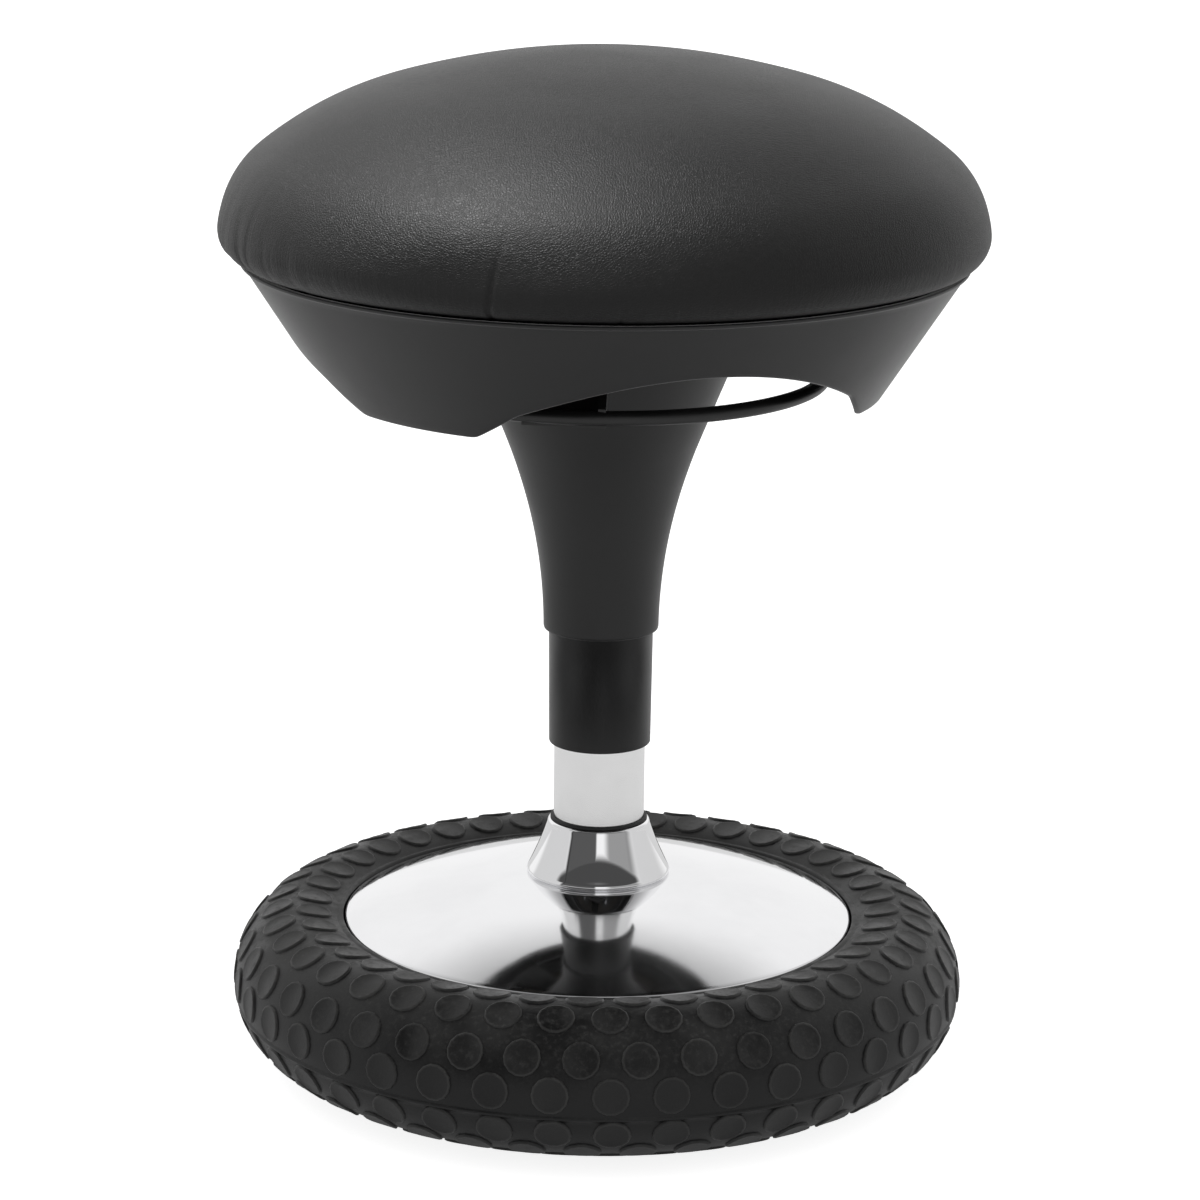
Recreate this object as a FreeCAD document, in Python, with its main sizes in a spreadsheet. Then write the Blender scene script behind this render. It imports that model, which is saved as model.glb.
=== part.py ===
"""A height-adjustable wobble stool: tyre-shaped rocking foot, sprung column, ring lever and round cushion.

Millimetres, +Z up. The origin lies on the stool's axis, on the plane that the foot stands on, and the
front of the stool looks along -Y. Every piece is an object of its own with its own Label and Placement.
"""
import FreeCAD, Part
import math
import os
import Sketcher

Vector = FreeCAD.Vector
doc = FreeCAD.newDocument("wobble_stool")
sheet = doc.addObject("Spreadsheet::Sheet", "sizes")

# Driving dimensions. Heights are above the floor at rest, with the seat at the top of its travel.
SIZES = {
    # rubber tyre
    "tyre_radius": 201.0,
    "tyre_waist": 49.4,
    "tyre_upper_round": 43.0,
    "tyre_lower_round": 41.0,
    "tyre_lower_turn": 68.0,
    "tyre_wall": 8.0,
    "tyre_flank_run": 12.8,
    "tyre_flank_rise": 4.7,
    "sole_inner_radius": 102.0,
    "sole_radius": 116.7,
    "ridge_drop": 9.6,
    "ridge_half": 1.5,
    "ridge_proud": 0.8,
    # polished dome
    "dome_radius": 140.4,
    "dome_rim_height": 85.0,
    "dome_rise": 19.8,
    "dome_sheet": 1.8,
    "dome_skirt": 8.0,
    "dome_rim_gap": 0.8,
    # bell at the foot of the column
    "bell_radius": 39.0,
    "bell_foot_radius": 34.0,
    "bell_top_radius": 27.5,
    "bell_height": 35.2,
    "bell_bore_gap": 1.2,
    "bell_belly": 3.6,
    "bell_wall": 2.6,
    "seal_height": 5.0,
    "seal_drop": 1.4,
    # wheel core inside the tyre
    "core_wall": 4.0,
    "core_boss_wall": 7.0,
    "core_web": 4.0,
    "core_rib": 4.0,
    "core_ribs": 6,
    "boss_floor": 8.0,
    "boss_hole": 12.0,
    "core_seat": 5.0,
    # counterweight and pan under the core
    "weight_outer": 108.0,
    "weight_inner": 44.0,
    "weight_thick": 24.0,
    "weight_bolt_circle": 76.0,
    "pan_sheet": 3.0,
    "pan_height": 5.0,
    "pan_lip": 5.0,
    "small_screws": 6,
    "pan_screw_head": 2.5,
    "nut_half": 5.0,
    "nut_thick": 5.0,
    # standing tube of the column
    "tube_radius": 25.0,
    "tube_wall": 1.8,
    "tube_foot": 44.0,
    "tube_top": 274.0,
    "tube_plate": 3.0,
    "bush_length": 60.0,
    "bush_flange": 2.0,
    "running_gap": 0.05,
    "loose_gap": 0.3,
    # gas spring
    "cylinder_radius": 14.0,
    "cylinder_bore": 12.0,
    "cylinder_foot": 180.0,
    "cone_start": 398.0,
    "cone_length": 42.0,
    "cone_top_radius": 12.7,
    "cylinder_cap": 6.0,
    "valve_block": 16.0,
    "rod_radius": 5.0,
    "rod_neck": 4.0,
    "piston_length": 12.0,
    "piston_lift": 12.0,
    "washer_radius": 11.0,
    "washer_thick": 1.5,
    "bearing_ball": 3.0,
    "bearing_balls": 8,
    "clip_radius": 8.0,
    "clip_thick": 1.2,
    "pin_radius": 4.0,
    # telescopic covers
    "sleeve_foot": 184.2,
    "sleeve_foot_radius": 27.8,
    "sleeve_top_radius": 28.6,
    "sleeve_flange": 1.0,
    "sleeve_flange_thick": 2.4,
    "trumpet_foot": 248.8,
    "trumpet_foot_radius": 31.5,
    "trumpet_waist_radius": 41.8,
    "trumpet_waist": 323.4,
    "trumpet_flare_radius": 51.3,
    "trumpet_flare": 352.2,
    "trumpet_mouth_radius": 71.2,
    "trumpet_mouth": 402.0,
    "trumpet_wall": 2.0,
    "trumpet_lip": 8.0,
    "trumpet_web": 397.0,
    # bracket that carries the seat
    "socket_radius": 18.0,
    "socket_foot": 392.0,
    "bracket_sheet": 3.5,
    "bracket_floor": 424.0,
    "bracket_floor_radius": 46.0,
    "bracket_wall_radius": 70.0,
    "bracket_radius": 100.0,
    "bracket_window": 30.0,
    "bolt_circle": 86.0,
    "bolt_spread": 15.0,
    "bolt_radius": 3.0,
    "bolt_head": 5.2,
    "nut_flange": 9.0,
    # ring lever
    "ring_radius": 118.0,
    "ring_rod": 4.0,
    "ring_height": 390.9,
    "spoke_turn": -10.0,
    "spoke_half": 22.0,
    "spoke_inner_half": 12.0,
    "spoke_depth": 10.0,
    "spoke_floor": 3.0,
    "spoke_wall": 4.0,
    "hub_radius": 40.0,
    "hub_thick": 4.0,
    # three-lobed seat shell
    "shell_top_radius": 195.4,
    "shell_top": 453.6,
    "shell_lip": 2.4,
    "shell_step": 2.1,
    "shell_foot_radius": 149.4,
    "shell_foot": 383.3,
    "shell_wall": 3.3,
    "shell_deck": 3.0,
    "shell_deck_radius": 122.0,
    "arch_turn": 18.95,
    "arch_half": 105.4,
    "arch_shoulder_half": 91.4,
    "arch_shoulder": 15.3,
    "arch_rise": 39.0,
    "lobes": 3,
    "gussets": 12,
    "gusset_thick": 2.5,
    "gusset_run": 31.0,
    "gusset_drop": 22.0,
    "shell_screw_circle": 150.0,
    "shell_screw_spread": 11.0,
    "screw_radius": 2.0,
    "screw_head": 4.0,
    # seat board, foam and cover
    "board_radius": 186.0,
    "board_thick": 12.0,
    "board_height": 452.5,
    "cushion_radius": 206.2,
    "cushion_waist": 474.0,
    "cushion_shoulder_radius": 182.0,
    "cushion_shoulder": 513.9,
    "cushion_crown_radius": 106.6,
    "cushion_crown": 550.2,
    "cushion_top": 564.5,
    "cushion_seat_gap": 1.6,
    "cover_sheet": 1.2,
    "cover_turn_in": 18.0,
}


class Size:
    """A length with its value and the sheet formula that gives it, so that sums of sizes stay bound."""

    def __init__(self, value, formula=None):
        self.value = float(value)
        self.formula = repr(self.value) if formula is None else formula

    def joined(self, other, sign, value):
        return Size(value, "(" + self.formula + " " + sign + " " + other.formula + ")")

    def __add__(self, other):
        other = as_size(other)
        return self.joined(other, "+", self.value + other.value)

    def __radd__(self, other):
        return as_size(other) + self

    def __sub__(self, other):
        other = as_size(other)
        return self.joined(other, "-", self.value - other.value)

    def __rsub__(self, other):
        return as_size(other) - self

    def __mul__(self, other):
        other = as_size(other)
        return self.joined(other, "*", self.value * other.value)

    def __rmul__(self, other):
        return as_size(other) * self

    def __truediv__(self, other):
        other = as_size(other)
        return self.joined(other, "/", self.value / other.value)

    def __neg__(self):
        return Size(0) - self


def as_size(number):
    """Give a plain number the same form as a sheet size."""
    return number if isinstance(number, Size) else Size(number)


def root(size):
    """Square root of a size."""
    return Size(math.sqrt(size.value), "sqrt(" + size.formula + ")")


def dome_drop(run, rise, radius):
    """Drop below its top, at a radius, of a round cap that falls by a rise over a run from the axis."""
    ball = (run * run + rise * rise) / (rise * 2.0)
    return ball - root(ball * ball - radius * radius)


def cosine(turn):
    """Cosine of a turn in degrees."""
    turn = as_size(turn)
    return Size(math.cos(math.radians(turn.value)), "cos(" + turn.formula + " * 1deg)")


def sine(turn):
    """Sine of a turn in degrees."""
    turn = as_size(turn)
    return Size(math.sin(math.radians(turn.value)), "sin(" + turn.formula + " * 1deg)")


class Sizes:
    """The sheet's cells by name."""


def fill_sheet():
    """Write each driving dimension to the sheet under its alias and hand the cells back by name."""
    sizes = Sizes()
    for row, (name, value) in enumerate(SIZES.items(), start=1):
        sheet.set("A%d" % row, name)
        sheet.set("B%d" % row, str(value))
        sheet.setAlias("B%d" % row, name)
        setattr(sizes, name, Size(value, "sizes." + name))
    doc.recompute()
    return sizes


s = fill_sheet()


def new_body(name):
    """Start a body whose Label names the piece."""
    body = doc.addObject("PartDesign::Body", name)
    body.Label = name
    return body


def new_sketch(body, name, role, height=None, turn=None):
    """Attach a sketch to one of the body's own origin planes, raised by a height or turned about Z."""
    sketch = body.newObject("Sketcher::SketchObject", name)
    plane = [item for item in body.Origin.OriginFeatures if item.Role == role][0]
    sketch.AttachmentSupport = [(plane, "")]
    sketch.MapMode = "FlatFace"
    if height is not None:
        height = as_size(height)
        sketch.AttachmentOffset = FreeCAD.Placement(Vector(0, 0, height.value), FreeCAD.Rotation())
        sketch.setExpression("AttachmentOffset.Base.z", height.formula)
    if turn is not None:
        turn = as_size(turn)
        turned = FreeCAD.Rotation(Vector(0, 1, 0), turn.value)
        sketch.AttachmentOffset = FreeCAD.Placement(Vector(), turned)
        sketch.setExpression("AttachmentOffset.Rotation.Angle", turn.formula)
    return sketch


def pin_down(sketch, geometry, position, x, y):
    """Bind one point of a sketch to two sizes measured from the sketch's origin."""
    for kind, size in (("DistanceX", as_size(x)), ("DistanceY", as_size(y))):
        rule = Sketcher.Constraint(kind, -1, 1, geometry, position, size.value)
        index = sketch.addConstraint(rule)
        sketch.setExpression("Constraints[%d]" % index, size.formula)


def draw(sketch, corners):
    """Close an outline through the corners, each (x, y) or (x, y, (x, y)) with a point of the arc before it."""
    count = len(corners)
    spots = [(as_size(corner[0]), as_size(corner[1])) for corner in corners]
    starts = []
    first = sketch.GeometryCount
    for index in range(count):
        here = spots[index]
        there = spots[(index + 1) % count]
        following = corners[(index + 1) % count]
        begin = Vector(here[0].value, here[1].value, 0)
        finish = Vector(there[0].value, there[1].value, 0)
        if len(following) == 3:
            middle = [as_size(size) for size in following[2]]
            via = Vector(middle[0].value, middle[1].value, 0)
            edge = sketch.addGeometry(Part.Arc(begin, via, finish))
            flipped = (sketch.getPoint(edge, 1) - begin).Length > 1e-6
            starts.append((2, 1) if flipped else (1, 2))
        else:
            sketch.addGeometry(Part.LineSegment(begin, finish))
            starts.append((1, 2))
    for index in range(count):
        after = (index + 1) % count
        sketch.addConstraint(
            Sketcher.Constraint("Coincident", first + index, starts[index][1], first + after, starts[after][0])
        )
        pin_down(sketch, first + index, starts[index][0], *spots[index])
    for index in range(count):
        following = corners[(index + 1) % count]
        if len(following) == 3:
            middle = [as_size(size) for size in following[2]]
            spot = sketch.addGeometry(Part.Point(Vector(middle[0].value, middle[1].value, 0)), True)
            pin_down(sketch, spot, 1, *middle)
            sketch.addConstraint(Sketcher.Constraint("PointOnObject", spot, 1, first + index))


def draw_circle(sketch, x, y, radius):
    """Draw a circle with its centre and radius bound to sizes."""
    x, y, radius = as_size(x), as_size(y), as_size(radius)
    ring = sketch.addGeometry(Part.Circle(Vector(x.value, y.value, 0), Vector(0, 0, 1), radius.value))
    pin_down(sketch, ring, 3, x, y)
    index = sketch.addConstraint(Sketcher.Constraint("Radius", ring, radius.value))
    sketch.setExpression("Constraints[%d]" % index, radius.formula)


def turned_piece(name, corners, lift=None, body=None, step=""):
    """Turn an outline of (radius, height) corners about the stool's axis."""
    body = body or new_body(name)
    sketch = new_sketch(body, name + step + "_outline", "XZ_Plane")
    draw(sketch, corners)
    turn = body.newObject("PartDesign::Revolution", name + step + "_turn")
    turn.Profile = sketch
    turn.ReferenceAxis = (sketch, ["V_Axis"])
    turn.Angle = 360
    sketch.Visibility = False
    if lift is not None:
        body.Placement = FreeCAD.Placement(Vector(0, 0, lift.value), FreeCAD.Rotation())
        body.setExpression("Placement.Base.z", lift.formula)
    doc.recompute()
    return body


def spin_copies(body, feature, count):
    """Repeat a feature evenly about the axis."""
    doc.recompute()
    pattern = body.newObject("PartDesign::PolarPattern", feature.Name + "_spread")
    pattern.Originals = [feature]
    axis = [item for item in body.Origin.OriginFeatures if item.Role == "Z_Axis"][0]
    pattern.Axis = (axis, [""])
    pattern.Angle = 360
    pattern.Occurrences = int(count.value)
    pattern.setExpression("Occurrences", count.formula)
    body.Tip = pattern
    doc.recompute()
    return pattern


def bind_length(feature, length):
    """Bind a pad's or pocket's length to a size."""
    length = as_size(length)
    feature.Length = length.value
    feature.setExpression("Length", length.formula)


def cut_down(body, name, height, circles, depth):
    """Cut round holes downwards from a height: circles are (x, y, radius)."""
    sketch = new_sketch(body, name + "_rings", "XY_Plane", height)
    for x, y, radius in circles:
        draw_circle(sketch, x, y, radius)
    pocket = body.newObject("PartDesign::Pocket", name)
    pocket.Profile = sketch
    bind_length(pocket, depth)
    doc.recompute()
    return pocket


def rib_between(body, name, corners, thick, turn=None):
    """Pad an upright outline of (radius, height) corners to both sides of its plane."""
    sketch = new_sketch(body, name + "_side", "XZ_Plane", turn=turn)
    draw(sketch, corners)
    rib = body.newObject("PartDesign::Pad", name)
    rib.Profile = sketch
    rib.Midplane = True
    bind_length(rib, thick)
    doc.recompute()
    return rib


def round_points(radius, turn):
    """Plan position of a point at a radius and a turn, measured from the front towards +X."""
    return radius * sine(turn), -(radius * cosine(turn))


# Rubber tyre. A C-shaped section whose outside is a fat round, with a parting ridge round its waist and
# a sole that curves in to a narrow flat ring, on which the stool stands and over which it rocks.
lip_radius = s.dome_radius + s.dome_rim_gap
lip_height = s.dome_rim_height - 0.4
upper_centre = s.tyre_radius - s.tyre_upper_round
lower_centre = s.tyre_radius - s.tyre_lower_round
sole_edge = lower_centre + s.tyre_lower_round * cosine(s.tyre_lower_turn)
sole_edge_height = s.tyre_waist - s.tyre_lower_round * sine(s.tyre_lower_turn)


def upper_round(turn, inset):
    """Point of the tyre's upper round at a turn above the waist, moved in by an inset."""
    reach = s.tyre_upper_round - inset
    return upper_centre + reach * cosine(turn), s.tyre_waist + reach * sine(turn)


def lower_round(turn, inset):
    """Point of the tyre's lower round at a turn below the waist, moved in by an inset."""
    reach = s.tyre_lower_round - inset
    return lower_centre + reach * cosine(turn), s.tyre_waist - reach * sine(turn)


def lower_round_at(drop, inset):
    """Point of the tyre's lower round at a drop below the waist."""
    reach = s.tyre_lower_round - inset
    return lower_centre + root(reach * reach - drop * drop), s.tyre_waist - drop


def section_above(inset, flank_inset):
    """Corners from the lip's flank over the crown to the waist."""
    flank = (lip_radius + s.tyre_flank_run, lip_height + s.tyre_flank_rise - flank_inset)
    return [
        flank,
        (*upper_round(45, inset), upper_round(73, inset)),
        (*upper_round(0, inset), upper_round(22, inset)),
    ]


def section_below(inset):
    """Corners from the waist down to the sole's flat ring."""
    run = sole_edge - s.sole_radius
    edge = lower_round(s.tyre_lower_turn, inset)
    flat = (s.sole_radius + inset * 0.15, as_size(inset))
    middle = (s.sole_radius + run * 0.5, inset + sole_edge_height * 0.24)
    return [(*edge, lower_round(34, inset)), (*flat, middle)]


def make_tyre():
    ridge_top = lower_round_at(s.ridge_drop - s.ridge_half, 0)
    ridge_tip = (lower_round_at(s.ridge_drop, 0)[0] + s.ridge_proud, s.tyre_waist - s.ridge_drop)
    ridge_foot = lower_round_at(s.ridge_drop + s.ridge_half, 0)
    outside = [(lip_radius, lip_height)] + section_above(Size(0), Size(0))
    outside += [(*ridge_top, lower_round_at(s.ridge_drop * 0.5, 0)), ridge_tip, ridge_foot]
    outside += section_below(Size(0))
    outside += [(s.sole_inner_radius, 0), (s.sole_inner_radius, s.tyre_wall)]
    above = section_above(s.tyre_wall, s.tyre_wall)
    below = section_below(s.tyre_wall)
    inside = [
        below[1][:2],
        (*below[0][:2], below[1][2]),
        (*above[2][:2], below[0][2]),
        (*above[1][:2], above[2][2]),
        (*above[0], above[1][2]),
        (lip_radius, lip_height - s.dome_skirt + 0.5),
    ]
    return turned_piece("tyre", outside + inside)


# Wheel core. It fills the tyre with a channel-shaped rim, a flat web and a deep boss that holds the tube.
core_inset = s.tyre_wall + s.loose_gap
web_top = s.tyre_waist + s.core_web * 0.5
web_foot = s.tyre_waist - s.core_web * 0.5
boss_radius = s.tube_radius + s.core_boss_wall
boss_top = s.dome_rim_height + s.dome_rise - s.dome_sheet - 3.0
rim_seat = s.dome_rim_height - s.dome_skirt


def make_core():
    outer_above = section_above(core_inset, core_inset)
    inner_above = section_above(core_inset + s.core_wall, core_inset + s.core_wall)
    outer_below = section_below(core_inset)
    inner_below = section_below(core_inset + s.core_wall)
    waist = upper_centre + s.tyre_upper_round - core_inset - s.core_wall
    side = waist - 0.2
    corners = [
        (s.tube_radius + s.running_gap, s.tube_foot),
        (s.tube_radius + s.running_gap, boss_top),
        (boss_radius, boss_top),
        (boss_radius, web_top),
        (side, web_top),
        (*inner_above[1][:2], inner_above[2][2]),
        (*inner_above[0], inner_above[1][2]),
        (s.dome_radius, rim_seat - s.core_wall),
        (s.dome_radius - s.core_seat, rim_seat - s.core_wall),
        (s.dome_radius - s.core_seat, rim_seat),
        (lip_radius + 0.6, rim_seat),
        outer_above[0],
        outer_above[1],
        outer_above[2],
        outer_below[0],
        outer_below[1],
        (s.sole_radius - 6.0, core_inset),
        (s.sole_radius - 6.0, core_inset + s.core_wall),
        inner_below[1][:2],
        (*inner_below[0][:2], inner_below[1][2]),
        (side, web_foot, inner_below[0][2]),
        (boss_radius, web_foot),
        (boss_radius, s.tube_foot - s.boss_floor),
        (s.boss_hole, s.tube_foot - s.boss_floor),
        (s.boss_hole, s.tube_foot),
    ]
    body = turned_piece("wheel_core", corners)
    rim_inner = lip_radius + s.tyre_flank_run - 8.0
    rib = rib_between(
        body,
        "core_rib_web",
        [
            (boss_radius - 2.0, web_top - 1.0),
            (rim_inner, web_top - 1.0),
            (rim_inner, rim_seat - 2.0),
            (boss_radius - 2.0, boss_top - 3.0),
        ],
        s.core_rib,
    )
    spin_copies(body, rib, s.core_ribs)
    hole = cut_down(
        body,
        "web_screw_hole",
        web_top + 1.0,
        [(*foot_screw_spot(), s.bolt_radius + s.running_gap)],
        s.core_web + 2.0,
    )
    spin_copies(body, hole, s.small_screws)
    return body


# Polished dome. A spun sheet with a turned-down rim, pierced for the tube.
dome_bulge = (s.dome_radius * s.dome_radius - s.tube_radius * s.tube_radius) / s.dome_rise


def dome_height(radius):
    """Height of the dome's top at a radius: the rise follows the square of the radius."""
    return s.dome_rim_height + (s.dome_radius * s.dome_radius - radius * radius) / dome_bulge


def make_dome():
    hole = s.tube_radius + s.bell_bore_gap
    middle = (s.dome_radius + hole) * 0.6
    edge = s.dome_sheet * 0.7
    return turned_piece(
        "base_dome",
        [
            (hole, dome_height(hole) - s.dome_sheet),
            (hole, dome_height(hole)),
            (s.dome_radius - edge, dome_height(s.dome_radius - edge), (middle, dome_height(middle))),
            (
                s.dome_radius,
                s.dome_rim_height - edge,
                (s.dome_radius - edge * 0.29, s.dome_rim_height - edge * 0.29),
            ),
            (s.dome_radius, rim_seat),
            (s.dome_radius - s.dome_sheet, rim_seat),
            (s.dome_radius - s.dome_sheet, s.dome_rim_height - s.dome_sheet - edge),
            (
                hole,
                dome_height(hole) - s.dome_sheet,
                (middle, dome_height(middle) - s.dome_sheet),
            ),
        ][:-1],
    )


# Bell. A polished collar that covers the joint between the dome and the tube, with a seal in its mouth.
bell_foot = dome_height(s.tube_radius + s.bell_bore_gap) + s.running_gap


def make_bell():
    bore = s.tube_radius + s.bell_bore_gap
    foot_inner = s.bell_foot_radius - s.bell_wall
    return turned_piece(
        "column_bell",
        [
            (foot_inner, 0),
            (s.bell_foot_radius, 0),
            (s.bell_radius, s.bell_belly, (s.bell_radius - 1.2, s.bell_belly * 0.3)),
            (s.bell_radius - 1.4, s.bell_belly * 2.1, (s.bell_radius - 0.25, s.bell_belly * 1.5)),
            (
                s.bell_top_radius,
                s.bell_height - 1.6,
                (s.bell_top_radius + 4.4, s.bell_height * 0.545),
            ),
            (
                s.bell_top_radius - 0.8,
                s.bell_height,
                (s.bell_top_radius - 0.1, s.bell_height - 0.5),
            ),
            (bore, s.bell_height - 0.5),
            (bore, s.bell_height * 0.7),
            (foot_inner + 1.0, s.bell_belly * 1.4),
        ],
        lift=bell_foot,
    )


def make_seal():
    inner = s.tube_radius + s.running_gap
    outer = s.tube_radius + s.bell_bore_gap - s.running_gap
    height = s.seal_height
    return turned_piece(
        "column_seal",
        [(inner, 0), (outer, 0), (outer, height - 0.6), (inner + 0.3, height), (inner, height - 0.3)],
        lift=bell_foot + s.bell_height - s.seal_drop - height,
    )


# Counterweight under the web and the pan that closes the foot.
weight_top = web_foot - s.running_gap


def foot_screw_spot():
    """Plan position of the first foot screw, midway between two ribs of the core."""
    half_step = Size(180) / s.core_ribs
    return s.weight_bolt_circle * cosine(half_step), s.weight_bolt_circle * sine(half_step)


def foot_screw_turns():
    """Turns of the foot screws, measured from the front towards +X."""
    step = 360 / s.small_screws.value
    first = 90 + 180 / s.core_ribs.value
    return [first + step * index for index in range(int(s.small_screws.value))]


def make_counterweight():
    foot = weight_top - s.weight_thick
    body = turned_piece(
        "counterweight",
        [
            (s.weight_inner, foot + 3.0),
            (s.weight_inner + 3.0, foot),
            (s.weight_outer - 3.0, foot),
            (s.weight_outer, foot + 3.0),
            (s.weight_outer, weight_top),
            (s.weight_inner, weight_top),
        ],
    )
    hole = cut_down(
        body,
        "weight_bolt_hole",
        weight_top,
        [(*foot_screw_spot(), s.bolt_radius + s.running_gap)],
        s.weight_thick + 1.0,
    )
    spin_copies(body, hole, s.small_screws)
    return body


def make_pan():
    rim = s.sole_inner_radius - s.loose_gap
    body = turned_piece(
        "foot_pan",
        [
            (0, s.pan_height),
            (rim, s.pan_height),
            (rim, s.tyre_wall + s.pan_sheet + s.pan_lip),
            (rim - s.pan_sheet, s.tyre_wall + s.pan_sheet + s.pan_lip),
            (rim - s.pan_sheet, s.pan_height + s.pan_sheet),
            (0, s.pan_height + s.pan_sheet),
        ],
    )
    hole = cut_down(
        body,
        "pan_screw_hole",
        s.pan_height + s.pan_sheet,
        [(*foot_screw_spot(), s.bolt_radius + s.running_gap)],
        s.pan_sheet + 1.0,
    )
    spin_copies(body, hole, s.small_screws)
    return body


# Fasteners. One screw is turned, and its copies are set round a circle as separate solids.
def screw_shape(shank, length, head, head_height, socket):
    """A screw standing on its head: hexagon socket below, shank upwards, origin under the head's seat."""
    solid = Part.makeCylinder(head.value, head_height.value, Vector(0, 0, -head_height.value))
    solid = solid.fuse(Part.makeCylinder(shank.value, length.value))
    flats = [math.radians(60 * side) for side in range(7)]
    corners = [Vector(socket.value * math.cos(a), socket.value * math.sin(a), -head_height.value) for a in flats]
    key = Part.Face(Part.makePolygon(corners)).extrude(Vector(0, 0, head_height.value * 0.6))
    return solid.cut(key).removeSplitter()


def set_copies(name, shape, spots):
    """Place copies of a solid at (x, y, z) spots as one node of separate solids."""
    copies = []
    for x, y, z in spots:
        copy = shape.copy()
        copy.translate(Vector(x, y, z))
        copies.append(copy)
    feature = doc.addObject("Part::Feature", name)
    feature.Label = name
    feature.Shape = Part.makeCompound(copies)
    feature.Placement = FreeCAD.Placement()
    return feature


def ring_spots(radius, turns, height):
    """Spots on a circle, at turns in degrees measured from the front towards +X."""
    spots = []
    for turn in turns:
        angle = math.radians(turn)
        spots.append((radius.value * math.sin(angle), -radius.value * math.cos(angle), height.value))
    return spots


def make_pan_screws():
    length = web_top + s.nut_thick + 1.0 - s.pan_height
    shape = screw_shape(s.bolt_radius, length, s.bolt_head, s.pan_screw_head, s.bolt_radius * 0.8)
    return set_copies("pan_screws", shape, ring_spots(s.weight_bolt_circle, foot_screw_turns(), s.pan_height))


def make_web_nuts():
    """Hexagon nuts on the core's web, one on each foot screw."""
    reach = s.nut_half / math.cos(math.radians(30))
    flats = [math.radians(60 * side) for side in range(7)]
    corners = [Vector(reach.value * math.cos(a), reach.value * math.sin(a), 0) for a in flats]
    shape = Part.Face(Part.makePolygon(corners)).extrude(Vector(0, 0, s.nut_thick.value))
    shape = shape.cut(Part.makeCylinder((s.bolt_radius + s.running_gap).value, s.nut_thick.value))
    return set_copies("web_nuts", shape, ring_spots(s.weight_bolt_circle, foot_screw_turns(), web_top))


# Standing tube, its guide bush and the bearing at its foot.
def make_tube():
    bore = s.tube_radius - s.tube_wall
    length = s.tube_top - s.tube_foot
    return turned_piece(
        "column_tube",
        [
            (s.rod_neck + s.running_gap, 0),
            (s.tube_radius - 0.6, 0),
            (s.tube_radius, 0.6),
            (s.tube_radius, length),
            (bore, length),
            (bore, s.tube_plate),
            (s.rod_neck + s.running_gap, s.tube_plate),
        ],
        lift=s.tube_foot,
    )


def make_bush():
    bore = s.cylinder_radius + s.running_gap
    outer = s.tube_radius - s.tube_wall - s.running_gap
    return turned_piece(
        "guide_bush",
        [
            (bore + 0.5, -s.bush_length),
            (outer, -s.bush_length),
            (outer, 0),
            (s.tube_radius, 0),
            (s.tube_radius - 0.3, s.bush_flange),
            (bore + 0.8, s.bush_flange),
            (bore, s.bush_flange - 0.8),
            (bore, -s.bush_length + 0.5),
        ],
        lift=s.tube_top,
    )


bearing_foot = s.tube_foot + s.tube_plate
bearing_top = bearing_foot + s.washer_thick * 2.0 + s.bearing_ball


def make_washer(name, lift):
    inner = s.rod_neck + s.running_gap
    return turned_piece(
        name,
        [(inner, 0), (s.washer_radius, 0), (s.washer_radius, s.washer_thick), (inner, s.washer_thick)],
        lift=lift,
    )


def make_balls():
    radius = s.bearing_ball * 0.5
    ball = Part.makeSphere(radius.value - s.running_gap.value * 0.2)
    circle = (s.washer_radius + s.rod_neck) * 0.5
    step = 360 / s.bearing_balls.value
    turns = [step * index for index in range(int(s.bearing_balls.value))]
    return set_copies("bearing_balls", ball, ring_spots(circle, turns, bearing_foot + s.washer_thick + radius))


# Gas spring. The rod stands on the bearing and the cylinder slides over its piston.
piston_foot = s.cylinder_foot + s.piston_lift
piston_top = piston_foot + s.piston_length


def make_rod():
    tail = s.tube_foot - s.clip_thick * 2.5
    piston = s.cylinder_bore - s.running_gap * 2.0
    groove = s.rod_neck - 0.8
    return turned_piece(
        "piston_rod",
        [
            (0, tail),
            (s.rod_neck, tail),
            (s.rod_neck, tail + s.clip_thick * 0.9),
            (groove, tail + s.clip_thick * 0.9),
            (groove, tail + s.clip_thick * 1.9),
            (s.rod_neck, tail + s.clip_thick * 1.9),
            (s.rod_neck, bearing_top),
            (s.rod_radius, bearing_top),
            (s.rod_radius, piston_foot),
            (piston, piston_foot),
            (piston, piston_top),
            (0, piston_top),
        ],
    )


def make_clip():
    tail = s.tube_foot - s.clip_thick * 2.5
    thick = s.clip_thick * 0.9
    body = turned_piece(
        "rod_clip",
        [
            (s.rod_neck - 0.75, 0),
            (s.clip_radius, 0),
            (s.clip_radius, thick),
            (s.rod_neck - 0.75, thick),
        ],
        lift=tail + s.clip_thick * 0.95,
    )
    sketch = new_sketch(body, "clip_mouth_outline", "XY_Plane", thick)
    half = s.rod_neck - 1.4
    draw(sketch, [(0, -half), (s.clip_radius + 1.0, -half), (s.clip_radius + 1.0, half), (0, half)])
    mouth = body.newObject("PartDesign::Pocket", "clip_mouth")
    mouth.Profile = sketch
    bind_length(mouth, thick * 1.1)
    doc.recompute()
    return body


cone_start_local = s.cone_start - s.cylinder_foot
cylinder_length = cone_start_local + s.cone_length


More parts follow.
